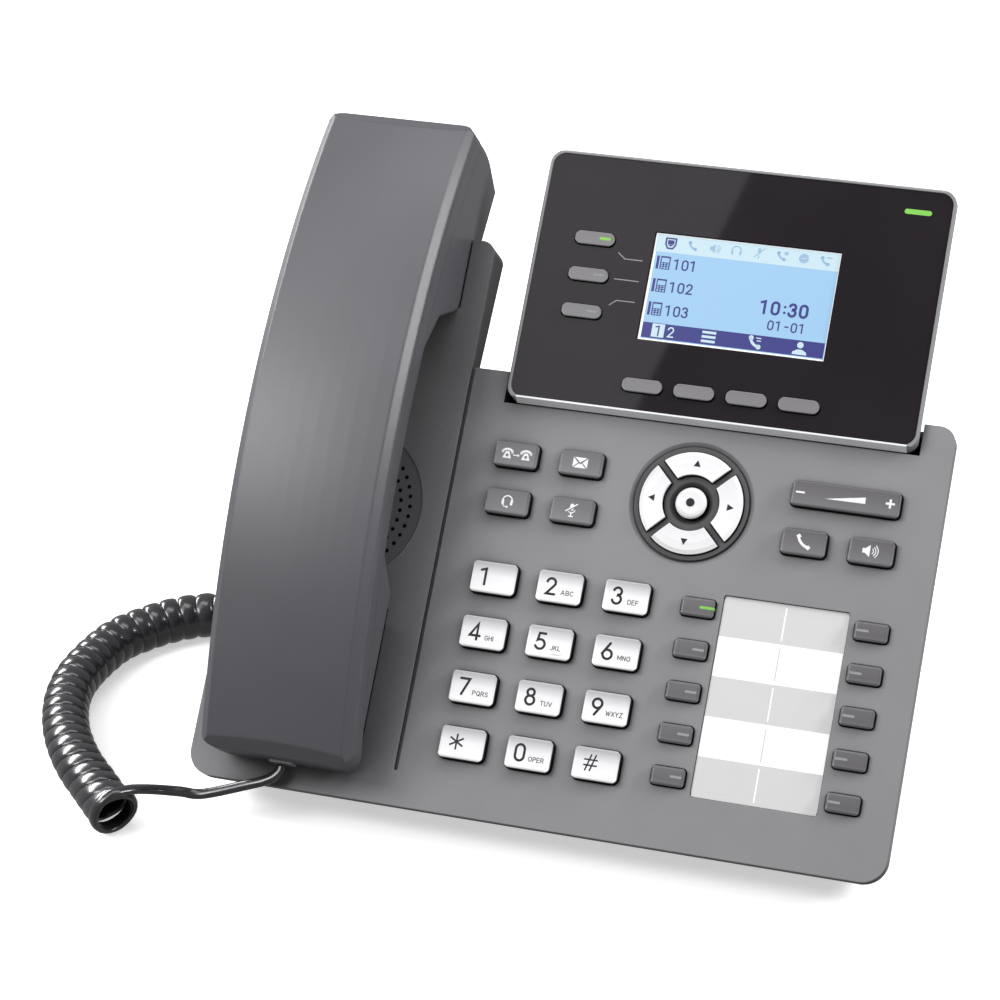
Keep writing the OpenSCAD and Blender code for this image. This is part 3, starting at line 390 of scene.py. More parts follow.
# The looks of the nodes, by the start of their names; all other nodes are dark keys.
LOOKS = {
    "top_cover": cover_material(), "display_frame": body_grey, "rear_cover": back_grey,
    "foot_stand": back_grey, "speaker_grille": grille_grey, "loudspeaker": speaker_black,
    "circuit_board": board_material(), "key_mat": silicone, "display_panel": panel_black,
    "lcd_module": lcd_field, "rubber_feet": rubber, "handset_outer_shell": handset_grey,
    "handset_inner_shell": handset_grey, "handset_capsules": capsule_metal, "hook_switch": hook_grey,
    "handset_plug": clear_plastic, "base_plug": clear_plastic, "cord_coil": cord_black,
    "cord_leads": cord_black, "dial_key": white_key, "nav_key": nav_key, "quick_key": quick_key,
    "line_key": pill_key, "soft_key": pill_key,
}
for name, node in NODES.items():
    look = next((look for start, look in LOOKS.items() if name.startswith(start)), dark_key)
    node.data.materials.clear()
    node.data.materials.append(look.material)

# ---- Flat prints and small windows on the deck ----

STEP = 0.003  # each stroke of a print lies this much higher than the one before, in mm
DISC_POINTS, CAP_POINTS = 28, 8
LETTER_LINE, LETTER_GAP = 0.165, 0.3  # shares of a capital's height

# Capitals as strokes in a square of their own height, from the lower left corner.
BOWL = [
    (0.28, 0.98), (0.08, 0.78), (0.04, 0.5), (0.08, 0.22), (0.28, 0.02), (0.52, 0.02),
    (0.72, 0.22), (0.76, 0.5), (0.72, 0.78), (0.52, 0.98), (0.28, 0.98),
]
OPEN_BOWL = [
    (0.72, 0.8), (0.54, 0.97), (0.3, 0.98), (0.1, 0.8), (0.04, 0.5), (0.1, 0.2),
    (0.3, 0.02), (0.54, 0.03), (0.72, 0.2),
]
LOOP = [(0, 0), (0, 1), (0.4, 1), (0.58, 0.9), (0.6, 0.64), (0.4, 0.5), (0, 0.5)]
CAPITALS = {
    "A": [[(0, 0), (0.42, 1), (0.84, 0)], [(0.16, 0.33), (0.68, 0.33)]],
    "B": [LOOP, [(0.4, 0.5), (0.64, 0.38), (0.64, 0.12), (0.42, 0), (0, 0)]],
    "C": [OPEN_BOWL],
    "D": [[(0, 0), (0, 1), (0.38, 1), (0.64, 0.78), (0.68, 0.5), (0.64, 0.22), (0.38, 0), (0, 0)]],
    "E": [[(0.55, 0), (0, 0), (0, 1), (0.55, 1)], [(0, 0.52), (0.48, 0.52)]],
    "F": [[(0, 0), (0, 1), (0.53, 1)], [(0, 0.52), (0.46, 0.52)]],
    "G": [OPEN_BOWL + [(0.72, 0.48), (0.42, 0.48)]],
    "H": [[(0, 0), (0, 1)], [(0.64, 0), (0.64, 1)], [(0, 0.52), (0.64, 0.52)]],
    "I": [[(0, 0), (0, 1)]],
    "J": [[(0, 0.18), (0.12, 0.03), (0.32, 0.03), (0.44, 0.2), (0.44, 1)]],
    "K": [[(0, 0), (0, 1)], [(0.6, 1), (0, 0.4)], [(0.2, 0.6), (0.64, 0)]],
    "L": [[(0, 1), (0, 0), (0.52, 0)]],
    "M": [[(0, 0), (0, 1)], [(0, 1), (0.42, 0.2), (0.84, 1)], [(0.84, 1), (0.84, 0)]],
    "N": [[(0, 0), (0, 1)], [(0, 1), (0.64, 0)], [(0.64, 0), (0.64, 1)]],
    "O": [BOWL],
    "P": [LOOP],
    "Q": [BOWL, [(0.5, 0.26), (0.78, -0.04)]],
    "R": [LOOP, [(0.36, 0.5), (0.64, 0)]],
    "S": [[
        (0.58, 0.82), (0.44, 0.98), (0.18, 0.98), (0.04, 0.84), (0.06, 0.64),
        (0.54, 0.38), (0.6, 0.18), (0.44, 0.02), (0.18, 0.02), (0.02, 0.18),
    ]],
    "T": [[(0, 1), (0.64, 1)], [(0.32, 1), (0.32, 0)]],
    "U": [[(0, 1), (0, 0.22), (0.18, 0.02), (0.46, 0.02), (0.64, 0.22), (0.64, 1)]],
    "V": [[(0, 1), (0.36, 0)], [(0.36, 0), (0.72, 1)]],
    "W": [[(0, 1), (0.24, 0)], [(0.24, 0), (0.48, 0.9)], [(0.48, 0.9), (0.72, 0)], [(0.72, 0), (0.96, 1)]],
    "X": [[(0, 0), (0.62, 1)], [(0, 1), (0.62, 0)]],
    "Y": [[(0, 1), (0.34, 0.48), (0.68, 1)], [(0.34, 0.48), (0.34, 0)]],
    "Z": [[(0, 1), (0.6, 1), (0, 0), (0.62, 0)]],
}


class Print:
    """Flat shapes in one material, lying at height n on the deck or on a key."""

    def __init__(self, name, body, look, n, slot, at=(0, 0)):
        self.name, self.body, self.look, self.n, self.slot, self.at = name, body, look, n, slot, at
        self.points, self.faces = [], []

    def face(self, outline):
        """One flat face that looks outward, whichever way round its outline is given."""
        area = sum(a[0] * b[1] - b[0] * a[1] for a, b in zip(outline, outline[1:] + outline[:1]))
        if area < 0:
            outline = outline[::-1]
        first = len(self.points)
        self.points += [deck(self.at[0] + x, self.at[1] + s, self.n) for x, s in outline]
        self.faces.append(list(range(first, first + len(outline))))

    def box(self, x0, x1, s0, s1):
        self.face([(x0, s0), (x1, s0), (x1, s1), (x0, s1)])

    def disc(self, x, s, r):
        turn = 2 * math.pi / DISC_POINTS
        self.face([(x + r * math.cos(i * turn), s + r * math.sin(i * turn)) for i in range(DISC_POINTS)])

    def stroke(self, path, width, closed=False, caps=True):
        """A line of one width along path, mitred at its corners and round at its ends."""
        self.n += STEP
        count, h = len(path), width / 2
        left, right = [], []
        for i, (x, s) in enumerate(path):
            before = path[i - 1] if i or closed else None
            after = path[(i + 1) % count] if i < count - 1 or closed else None
            way = [
                Vector((b[0] - a[0], b[1] - a[1])).normalized()
                for a, b in ((before, (x, s)), ((x, s), after))
                if a and b
            ]
            normal = sum((Vector((-d.y, d.x)) for d in way), Vector((0, 0))).normalized()
            reach = h / max(0.35, normal.dot(Vector((-way[0].y, way[0].x))))
            left.append((x + normal.x * reach, s + normal.y * reach))
            right.append((x - normal.x * reach, s - normal.y * reach))
        for i in range(count if closed else count - 1):
            j = (i + 1) % count
            self.face([left[i], right[i], right[j], left[j]])
        if caps and not closed:
            for end, a, b in ((path[0], left[0], right[0]), (path[-1], right[-1], left[-1])):
                start = math.atan2(a[1] - end[1], a[0] - end[0])
                fan = [a]
                for k in range(1, CAP_POINTS):
                    angle = start + math.pi * k / CAP_POINTS
                    fan.append((end[0] + h * math.cos(angle), end[1] + h * math.sin(angle)))
                self.face(fan + [b])

    def arc(self, x, s, r, a0, a1, width, squash=1.0, caps=True):
        """An arc from angle a0 to a1 in degrees; a full turn closes."""
        whole = abs(a1 - a0) >= 360
        count = max(6, int(abs(a1 - a0) / 10))
        path = [
            (x + r * math.cos(t), s + r * squash * math.sin(t))
            for t in (math.radians(a0 + (a1 - a0) * i / count) for i in range(count + (not whole)))
        ]
        self.stroke(path, width, closed=whole, caps=caps)

    def words(self, text, x, s, size):
        """Plain capitals of height size with their lower left corner at x, s."""
        for letter in text:
            for path in CAPITALS[letter]:
                self.stroke([(x + a * size, s + b * size) for a, b in path], LETTER_LINE * size)
            x += (max(a for path in CAPITALS[letter] for a, b in path) + LETTER_GAP) * size

    def make(self):
        mesh = bpy.data.meshes.new(self.name)
        mesh.from_pydata(self.points, [], self.faces)
        mesh.materials.append(self.look.material)
        piece = added(self.name, mesh)
        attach(piece, self.body)


def numeral(p, d, x, s, h, w=0.142):
    """A plain thin numeral d of height h with its lower left corner at x, s; w is the line's share of h."""
    width = w * h

    def line(points, closed=False):
        p.stroke([(x + a * h, s + b * h) for a, b in points], width, closed)

    def bow(cx, cy, r, a0, a1, squash=1.0):
        count = max(5, int(abs(a1 - a0) / 15))
        turns = [math.radians(a0 + (a1 - a0) * i / count) for i in range(count + 1)]
        return [(cx + r * math.cos(t), cy + r * squash * math.sin(t)) for t in turns]

    if d == "0":
        line(bow(0.3, 0.69, 0.25, 0, 180, 1.04) + bow(0.3, 0.31, 0.25, 180, 360, 1.04), True)
    elif d == "1":
        line([(0.04, 0.86), (0.31, 0.95), (0.31, 0.05)])
    elif d == "2":
        line(bow(0.3, 0.7, 0.24, 172, -38) + [(0.08, 0.05), (0.56, 0.05)])
    elif d == "3":
        line(bow(0.28, 0.73, 0.22, 165, -80) + bow(0.27, 0.29, 0.25, 78, -165))
    elif d == "4":
        line([(0.62, 0.27), (0.05, 0.27), (0.46, 0.94), (0.46, 0.05)])
    elif d == "5":
        line([(0.53, 0.95), (0.18, 0.95), (0.12, 0.55)] + bow(0.28, 0.33, 0.27, 118, -155))
    elif d == "6":
        line(bow(0.31, 0.31, 0.26, 150, -210), True)
        line([(0.41, 0.95), (0.085, 0.44)])
    elif d == "7":
        line([(0.05, 0.95), (0.57, 0.95), (0.2, 0.05)])
    elif d == "8":
        line(bow(0.3, 0.74, 0.2, 0, 345), True)
        line(bow(0.3, 0.3, 0.25, 0, 345), True)
    elif d == "9":
        line(bow(0.29, 0.69, 0.26, -30, 315), True)
        line([(0.19, 0.05), (0.515, 0.56)])


# Places of the keys on the deck, as in the part's source, and how far their faces stand out of it.
DIAL_X, DIAL_S, DIAL_DX, DIAL_DS = GROOVE + 20.8, 23, 22.1, 18.2
DIAL = {str(k + 1): (DIAL_X + DIAL_DX * (k % 3), DIAL_S + DIAL_DS * (3 - k // 3)) for k in range(9)}
DIAL |= {"star": (DIAL_X, DIAL_S), "0": (DIAL_X + DIAL_DX, DIAL_S), "hash": (DIAL_X + 2 * DIAL_DX, DIAL_S)}
FUNC_X, FUNC_DX, ROWS = GROOVE + 20.5, 21.8, (119, 103.1)
KEY_OUT, NAV_OUT, NAV_OK_OUT = 2.8, 1.7, 1.88
INK_LIFT = 0.02  # a print lies this far off its key or window
DIGIT_AT, DIGIT_SIZE = (-4.55, -2.85), 5.75
LETTERS_X, LONG_LETTERS_X, LETTERS_S, LETTER_SIZE = 0.8, 0.3, -2.35, 1.42
LETTERS = {
    "2": "ABC", "3": "DEF", "4": "GHI", "5": "JKL", "6": "MNO",
    "7": "PQRS", "8": "TUV", "9": "WXYZ", "0": "OPER",
}


def at_func(i):
    """Place of function key i, counted in rows from the upper left."""
    return (FUNC_X + FUNC_DX * (i % 2), ROWS[i // 2])


def legend(node, at):
    """The sign on one of the dark keys."""
    return Print("legend_" + node, node, white_ink, KEY_OUT + INK_LIFT, "key_dark", at)


for key, at in DIAL.items():
    node = "dial_key_" + key
    p = Print("legend_" + node, node, ink, KEY_OUT + INK_LIFT, "key_white", at)
    if key == "star":
        for a in (90, 30, 150):
            c, q = 2.55 * math.cos(math.radians(a)), 2.6 * math.sin(math.radians(a))
            p.stroke([(-1.85 - c, 0.25 - q), (-1.85 + c, 0.25 + q)], 0.58, caps=False)
    elif key == "hash":
        for dx in (-0.75, 0.75):
            p.stroke([(-1.72 + dx - 0.75, -2.45), (-1.72 + dx + 0.75, 2.95)], 0.5, caps=False)
        for ds in (-0.85, 0.95):
            p.stroke([(-3.95, 0.25 + ds), (0.5, 0.25 + ds)], 0.5, caps=False)
    else:
        numeral(p, key, *DIGIT_AT, DIGIT_SIZE)
    p.make()
    if key in LETTERS:
        text = LETTERS[key]
        small = Print("letters_" + node, node, grey_ink, KEY_OUT + INK_LIFT, "key_white", at)
        small.words(text, LONG_LETTERS_X if len(text) > 3 else LETTERS_X, LETTERS_S, LETTER_SIZE)
        small.make()

# Function keys: two telephones with an arrow, an envelope, a headset and a struck-out microphone.
TELEPHONES = (-3.0, 3.3)
p = legend("transfer_key", at_func(0))
for cx in TELEPHONES:
    p.face([(cx - 1.45, -1.55), (cx + 1.45, -1.55), (cx + 0.6, 0.75), (cx - 0.6, 0.75)])
    p.arc(cx, -0.7, 2.2, 140, 40, 0.75)
    p.disc(cx - 1.62, 0.55, 0.42)
    p.disc(cx + 1.62, 0.55, 0.42)
p.stroke([(-1.0, -0.3), (0.6, -0.3)], 0.35, caps=False)
p.face([(0.5, -0.85), (0.5, 0.25), (1.25, -0.3)])
p.make()
hub = Print("legend_transfer_hub", "transfer_key", dark_key, KEY_OUT + 0.06, "key_dark", at_func(0))
for cx in TELEPHONES:
    hub.disc(cx, -0.55, 0.5)
hub.make()

x, s = at_func(1)
p = legend("message_key", (x - 0.2, s + 0.1))
p.face([(-2.06, 1.75), (2.06, 1.75), (0, 0.07)])
p.face([(-2.06, -1.75), (2.06, -1.75), (0.45, -0.22), (0, -0.62), (-0.45, -0.22)])
for m in (-1, 1):
    p.face([(m * 2.45, 1.6), (m * 2.45, -1.6), (m * 0.72, -0.02)])
p.make()

p = legend("headset_key", at_func(2))
p.arc(0, 0.35, 1.6, 200, -20, 0.42)
for m in (-1, 1):
    p.stroke([(m * 1.5, 0.35), (m * 1.42, -0.75)], 0.85)
p.stroke([(-1.3, -1.1), (-0.95, -1.6), (-0.2, -1.78)], 0.3)
p.disc(0.1, -1.75, 0.38)
p.make()

p = legend("mute_key", at_func(3))
p.stroke([(-0.2, 1.6), (-0.2, 0.55)], 1.3)
p.arc(-0.2, 0.35, 1.15, 190, 350, 0.3)
p.stroke([(-0.2, -0.8), (-0.2, -1.9)], 0.4, caps=False)
p.stroke([(-1.0, -2.0), (0.6, -2.0)], 0.38, caps=False)
p.make()
bar = Print("legend_mute_gap", "mute_key", dark_key, KEY_OUT + 0.045, "key_dark", at_func(3))
bar.stroke([(-1.9, -0.55), (1.6, 2.05)], 0.75)
bar.make()
bar = Print("legend_mute_bar", "mute_key", white_ink, KEY_OUT + 0.06, "key_dark", at_func(3))
bar.stroke([(-2.05, -0.35), (1.5, 2.2)], 0.36)
bar.make()

# Volume rocker, call and speaker keys.
p = legend("volume_rocker", (EDGE - 31.2, ROWS[0]))
p.box(-16.0, -13.15, -0.2, 0.42)
p.face([(-6.5, -1.0), (6.42, -0.95), (6.36, 1.12)])
p.box(12.85, 15.75, -0.22, 0.48)
p.box(13.95, 14.65, 0.48, 1.6)
p.box(13.95, 14.65, -1.35, -0.22)
p.make()

p = legend("call_key", (EDGE - 42.1, ROWS[1]))
p.arc(2.6, 2.9, 4.6, 190, 258, 0.85, caps=False)
p.stroke([(-2.1, 2.25), (-1.35, 1.35)], 1.25, caps=False)
p.stroke([(1.25, -1.25), (2.1, -2.0)], 1.25, caps=False)
p.make()

p = legend("speaker_key", (EDGE - 20.5, ROWS[1]))
p.face([(-2.7, -0.65), (-1.85, -0.65), (-0.3, -1.85), (-0.3, 2.05), (-1.85, 0.85), (-2.7, 0.85)])
for r in (1.0, 1.75, 2.5):
    p.arc(-0.2, 0.1, r, 48, -48, 0.3)
p.make()

# Navigation keys: an arrowhead on each quarter of the ring, and a dot on the middle key.
ARROW = ((14.1, 0), (11.95, 1.15), (11.95, -1.15))
for name, turn in (("right", 0), ("up", 90), ("left", 180), ("down", 270)):
    c, q = math.cos(math.radians(turn)), math.sin(math.radians(turn))
    p = Print("legend_nav_" + name, "nav_key_" + name, ink, NAV_OUT + INK_LIFT, "key_white", NAV)
    p.face([(a * c - b * q, a * q + b * c) for a, b in ARROW])
    p.make()
p = Print("legend_nav_ok", "nav_key_ok", ink, NAV_OK_OUT + INK_LIFT, "key_white", NAV)
p.disc(-0.1, 0, 1.4)
p.make()

# Quick keys with a lamp bar at the inner end; the first one is lit, and its bar runs down the side.
QUICK_LEFT, QUICK_RIGHT, QUICK_S, QUICK_DS, QUICK_OUT = EDGE - 72.2, EDGE - 16.4, 23, 13.7, 2.0
LIT_END, CAP_ROUND = 4.6, 0.8  # end of the lit bar, and the keycap's rounding where it turns down
for i in range(10):
    node = "quick_key_%d" % (i + 1)
    at = (QUICK_LEFT if i < 5 else QUICK_RIGHT, QUICK_S + QUICK_DS * (4 - i % 5))
    lit = i == 0
    p = Print("lamp_" + node, node, green if lit else led_off, QUICK_OUT + INK_LIFT, "key_dark", at)
    m = 1 if i < 5 else -1
    p.stroke([(m * 1.1, 0.05), (m * (LIT_END if lit else 4.2), 0.05)], 0.85 if lit else 0.8)
    if lit:
        strip = [
            (LIT_END + CAP_ROUND * math.sin(t), 1.22 + CAP_ROUND * math.cos(t))
            for t in (0, 0.3, 0.6, 0.9, 1.2, math.pi / 2)
        ]
        strip += [(5.42, 0.1)]
        first = len(p.points)
        for x, n in strip:
            p.points += [deck(at[0] + x, at[1] - 0.37, n), deck(at[0] + x, at[1] + 0.48, n)]
        for k in range(len(strip) - 1):
            a = first + 2 * k
            p.faces.append([a, a + 2, a + 3, a + 1])
    p.make()

# ---- Display ----

# The display's lower left corner, its width, and the heights of the panel and of the screen behind it.
POD_X, POD_S, POD_WIDE, PANEL, LCD = -32.0, 136.8, 135.8, 3.7, 3.24
PILL_OUT = PANEL + 1.0
for i in range(3):
    node = "line_key_%d" % (i + 1)
    at = (POD_X + 20, POD_S + 32.5 + 12.5 * (2 - i))
    p = Print("lamp_" + node, node, green if i == 0 else pill_led, PILL_OUT + INK_LIFT, "key_pill", at)
    p.stroke([(2.1, 0.1), (4.9, 0.1)], 1.0 if i == 0 else 0.8)
    p.make()

p = Print("display_leaders", "phone", line_ink, PANEL + INK_LIFT, "panel_black")
p.stroke([(-3.5, 190.6), (-1.0, 188.67), (5.0, 188.65)], 0.3, caps=False)
p.stroke([(-3.3, 181.55), (5.05, 181.5)], 0.3, caps=False)
p.stroke([(-3.4, 172.5), (-1.2, 174.35), (5.0, 174.37)], 0.3, caps=False)
p.make()

p = Print("status_lamp", "phone", green, PANEL + 0.03, "panel_black")
p.stroke([(88.1, 215.4), (95.3, 215.4)], 1.7)
p.make()


def on_screen(name, look, lift):
    """A print on the screen, lift mm in front of it."""
    return Print("lcd_" + name, "phone", look, LCD + lift, "lcd_glass")


for name, look, lift, x0, x1, s0, s1 in (
    ("frame_line", label_white_painted_glow, 0, 8.0, 69.4, 162.5, 198.9),
    ("background", lcd_field, 0.02, 8.75, 69.2, 163.0, 192.7),
    ("top_bar", lcd_pale, 0.02, 8.3, 69.2, 192.7, 198.7),
    ("soft_bar", lcd_dark, 0.04, 8.9, 69.0, 163.3, 168.5),
):
    p = on_screen(name, look, lift)
    p.box(x0, x1, s0, s1)
    p.make()


def digits(p, text, x, s, step, h, w):
    """Numerals of height h and line share w, each a step to the right of the one before."""
    for k, d in enumerate(text):
        numeral(p, d, x + step * k, s, h, w)


def tiny_phone(p, x, s):
    """A desk phone: a bar for its handset beside a frame with keys."""
    p.box(x - 2.4, x - 1.55, s - 2.2, s + 2.3)
    p.box(x - 1.1, x + 2.2, s - 2.2, s - 1.95)
    for c in range(4):
        p.box(x - 1.1 + 0.98 * c, x - 0.74 + 0.98 * c, s - 1.95, s + 0.2)
    for r in (-1.35, -0.7, -0.05):
        p.box(x - 0.74, x + 1.84, s + r, s + r + 0.25)
    p.box(x - 1.1, x + 2.2, s + 1.75, s + 2.3)
    for c in (-1.1, 1.85):
        p.box(x + c, x + c + 0.35, s + 0.2, s + 1.75)


def tiny_handset(p, x, s, size):
    """A handset lying on its back, as an arc with two round ends."""
    p.arc(x + 1.5 * size, s + 1.6 * size, 2.6 * size, 185, 265, 0.7 * size, caps=False)
    p.disc(x - 0.95 * size, s + 1.2 * size, 0.62 * size)
    p.disc(x + 1.15 * size, s - 1.0 * size, 0.62 * size)


# Three lines with their numbers, the clock, the date and the network's sign.
CLOCK_S, DATE_S = 175.9, 170.7
p = on_screen("marks", lcd_dark, 0.05)
for i, s in enumerate((189.0, 181.2, 173.2)):
    tiny_phone(p, 11.95, s)
    digits(p, "10" + str(i + 1), 15.4, s - 1.9, 2.75, 3.5, 0.15)
digits(p, "10", 46.2, CLOCK_S, 3.6, 4.4, 0.19)
for ds in (1.1, 3.0):
    p.disc(54.2, CLOCK_S + ds, 0.42)
digits(p, "30", 55.5, CLOCK_S, 3.6, 4.4, 0.19)
digits(p, "01", 49.5, DATE_S, 2.6, 3.2, 0.14)
p.box(55.0, 56.4, 172.1, 172.55)
digits(p, "01", 57.2, DATE_S, 2.6, 3.2, 0.14)
socket = [(11.6, 197.5), (14.9, 197.5), (14.9, 195.4), (14.1, 194.1), (12.4, 194.1), (11.6, 195.4)]
p.stroke(socket, 0.5, closed=True)
p.box(12.2, 14.3, 195.5, 196.9)
p.face([(12.3, 195.4), (14.2, 195.4), (13.25, 194.7)])
p.make()

# The faint signs of the top bar, from left to right.
SIGN_S, SIGN_SIZE = 195.7, 0.95
p = on_screen("faint_marks", lcd_faint, 0.05)
tiny_handset(p, 20.5, SIGN_S, SIGN_SIZE)
p.face([(26.4, 195.1), (27.0, 195.1), (28.1, 194.2), (28.1, 197.3), (27.0, 196.4), (26.4, 196.4)])
for r in (1.0, 1.7):
    p.arc(28.0, 195.75, r, 50, -50, 0.3)
p.arc(35.2, 195.9, 1.5, 210, -30, 0.4)
for m in (-1, 1):
    p.stroke([(35.2 + m * 1.4, 195.7), (35.2 + m * 1.3, 194.8)], 0.7)
p.stroke([(42.7, 197.2), (42.7, 196.2)], 1.0)
p.stroke([(42.7, 195.0), (42.7, 194.2)], 0.35)
p.stroke([(41.2, 194.5), (44.3, 197.6)], 0.35)
tiny_handset(p, 50.0, SIGN_S, SIGN_SIZE)
p.box(51.0, 52.2, 196.3, 197.4)
p.disc(57.5, 195.85, 1.6)
tiny_handset(p, 64.4, SIGN_S, SIGN_SIZE)
p.stroke([(65.0, 197.0), (66.6, 197.0)], 0.35)
p.make()

# The soft keys' signs: page numbers, a list, a call and a person.
p = on_screen("soft_marks", lcd_pale, 0.06)
p.box(12.1, 16.3, 163.8, 168.3)
numeral(p, "2", 17.4, 164.2, 3.5, 0.13)
for s in (164.0, 165.5, 167.0):
    p.box(28.8, 33.4, s, s + 0.85)
tiny_handset(p, 46.2, 165.9, 1.3)
p.stroke([(46.6, 167.5), (48.3, 167.5)], 0.35, caps=False)
p.stroke([(46.9, 166.6), (48.3, 166.6)], 0.35, caps=False)
p.disc(61.2, 166.9, 1.05)
p.face([(58.8, 163.7), (63.6, 163.7), (63.4, 164.6), (62.0, 165.4), (60.4, 165.4), (59.0, 164.6)])
p.make()
p = on_screen("soft_number", lcd_dark, 0.08)
numeral(p, "1", 13.3, 164.2, 3.5, 0.13)
p.make()
p = on_screen("stop_bar", lcd_pale, 0.08)
p.box(56.6, 58.4, 195.65, 196.05)
p.make()

# Bright strip along the display's lower edge.
p = Print("display_strip", "phone", strip_silver, 0, "frame_grey")
STRIP_STEPS, STRIP_INSET, STRIP_TOP = 40, 3.5, 4.03
for k in range(STRIP_STEPS + 1):
    x = POD_X + STRIP_INSET + (POD_WIDE - 2 * STRIP_INSET) * k / STRIP_STEPS
    for s, n in ((-0.03, 0.75), (1.17, STRIP_TOP), (1.75, STRIP_TOP)):
        p.points.append(deck(x, POD_S + s, n))
for k in range(STRIP_STEPS):
    a = 3 * k
    p.faces += [[a, a + 3, a + 4, a + 1], [a + 1, a + 4, a + 5, a + 2]]
p.make()

# ---- Label: a laminated card in five bands ----

LABEL, CARD_BACK, CARD_FACE = (EDGE - 44.3, 50.6), -0.98, -0.58
CARD_HALF, CARD_ROUND, CORNER_STEPS = (20.1, 32.45), 1.2, 4
rim = []
for cx, cy, start in ((1, 1, 0), (-1, 1, 90), (-1, -1, 180), (1, -1, 270)):
    for k in range(CORNER_STEPS + 1):
        a = math.radians(start + 90 / CORNER_STEPS * k)
        rim.append((
            cx * (CARD_HALF[0] - CARD_ROUND) + CARD_ROUND * math.cos(a),
            cy * (CARD_HALF[1] - CARD_ROUND) + CARD_ROUND * math.sin(a),
        ))
card_mesh = bpy.data.meshes.new("label_card")
count = len(rim)
card_mesh.from_pydata(
    [deck(LABEL[0] + x, LABEL[1] + y, n) for n in (CARD_BACK, CARD_FACE - INK_LIFT) for x, y in rim],
    [],
    [tuple(range(count - 1, -1, -1)), tuple(range(count, 2 * count))]
    + [(k, (k + 1) % count, count + (k + 1) % count, count + k) for k in range(count)],
)
card_mesh.materials.append(label_white_painted_glow.material)
card = added("label_card", card_mesh)
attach(card, "phone")
BAND_HALF, BAND_TOP, BAND = 20.0, 32.4, 12.96
MARK_HALF = (0.22, 5.4)
for name, look, rows in (("grey", label_grey, (0, 2, 4)), ("white", label_white_painted_glow, (1, 3))):
    p = Print("label_bands_" + name, "phone", look, CARD_FACE, "label_paper", LABEL)
    for r in rows:
        p.box(-BAND_HALF, BAND_HALF, BAND_TOP - BAND * (r + 1), BAND_TOP - BAND * r)
    p.make()
for name, look, rows in (("white", label_white_painted_glow, (0, 2, 4)), ("grey", label_grey, (1, 3))):
    p = Print("label_marks_" + name, "phone", look, CARD_FACE + INK_LIFT, "label_paper", LABEL)
    for r in rows:
        mid = BAND_TOP - BAND * (r + 0.5)
        p.box(-MARK_HALF[0], MARK_HALF[0], mid - MARK_HALF[1], mid + MARK_HALF[1])
    p.make()

# ---- Handset cord: leads and coil are one flat cord on one smooth curve, in world mm ----

# The coil's axis on the desk from the front to the back, as x and y; the lead from the coil's front
# end to the handset's plug; and the tail from the base's plug to the coil's back end.
COIL = [
    (-130, -92.5), (-138, -84.5), (-145.5, -76.5), (-153, -68.5), (-160, -59.5), (-167, -48.5),
    (-173, -35.5), (-176.5, -23), (-177.5, -11.5), (-176.5, 2), (-174, 13.5), (-168.5, 23), (-163, 30),
    (-157, 35.5), (-149, 40), (-138, 44), (-123, 48), (-108, 50), (-95, 50),
]
LEAD = [
    (-126.4, -87.8, 16), (-123.6, -83.3, 13.9), (-119.8, -79.2, 11.8), (-114.5, -76.2, 10.3),
    (-107.4, -74.3, 9.6), (-91.1, -73.2, 15.7), (-86.8, -72.5, 17.3),
    (-83.9, -71.6, 18.8), (-82.2, -70.3, 20.5), (-81.7, -69.2, 21.9),
]
TAIL = [
    (-40, -3.6, 44.5), (-40, 2.5, 39), (-41, 9, 31), (-44, 17, 21), (-49, 24, 12), (-56, 30, 5),
    (-64, 36, 2), (-73, 42, 2), (-82, 47, 2), (-90, 49.5, 3),
]


def smooth(points, steps):
    """Catmull-Rom curve through points."""
    p = [Vector(q) for q in points]
    p = [2 * p[0] - p[1]] + p + [2 * p[-1] - p[-2]]
    out = []
    for i in range(1, len(p) - 2):
        a, b, c, d = p[i - 1 : i + 3]
        for k in range(steps):
            t = k / steps
            square, cube = 2 * a - 5 * b + 4 * c - d, 3 * b - a - 3 * c + d
            out.append(0.5 * (2 * b + (c - a) * t + square * t**2 + cube * t**3))
    return out + [p[-2]]


def resample(line, count):
    """Points at count even steps along a line, and its length."""
    lengths = [0.0]
    for a, b in zip(line, line[1:]):
        lengths.append(lengths[-1] + (b - a).length)
    out, j = [], 0
    for k in range(count + 1):
        want = lengths[-1] * k / count
        while j < len(line) - 2 and lengths[j + 1] < want:
            j += 1
        span = max(lengths[j + 1] - lengths[j], 1e-9)
        out.append(line[j].lerp(line[j + 1], (want - lengths[j]) / span))
    return out, lengths[-1]


PITCH, WIDE, THICK, LEAD_WIDE = 6.3, 6.3, 2.5, 3.5
OUTER = 8.0  # the coil's outer radius
AXIS_STEPS, REACH, TURN_POINTS, RING = 900, 8, 24, 20
SKY = Vector((0, 0, 1))
LEAN = math.tan(math.radians(34))  # how far the turns lean, at the front end
OPENING_TURNS, START_SHARE = 1.5, 0.35  # at the back the coil opens from this share of its radius
LAST_TURNS, LAST_WIDER = 1.2, 1.2  # at the front it ends in an upright ring, this much wider
LEAD_FACE = Vector((0, -0.5, 0.87))
WIDENING = 14  # points over which the leads widen into the coil's band


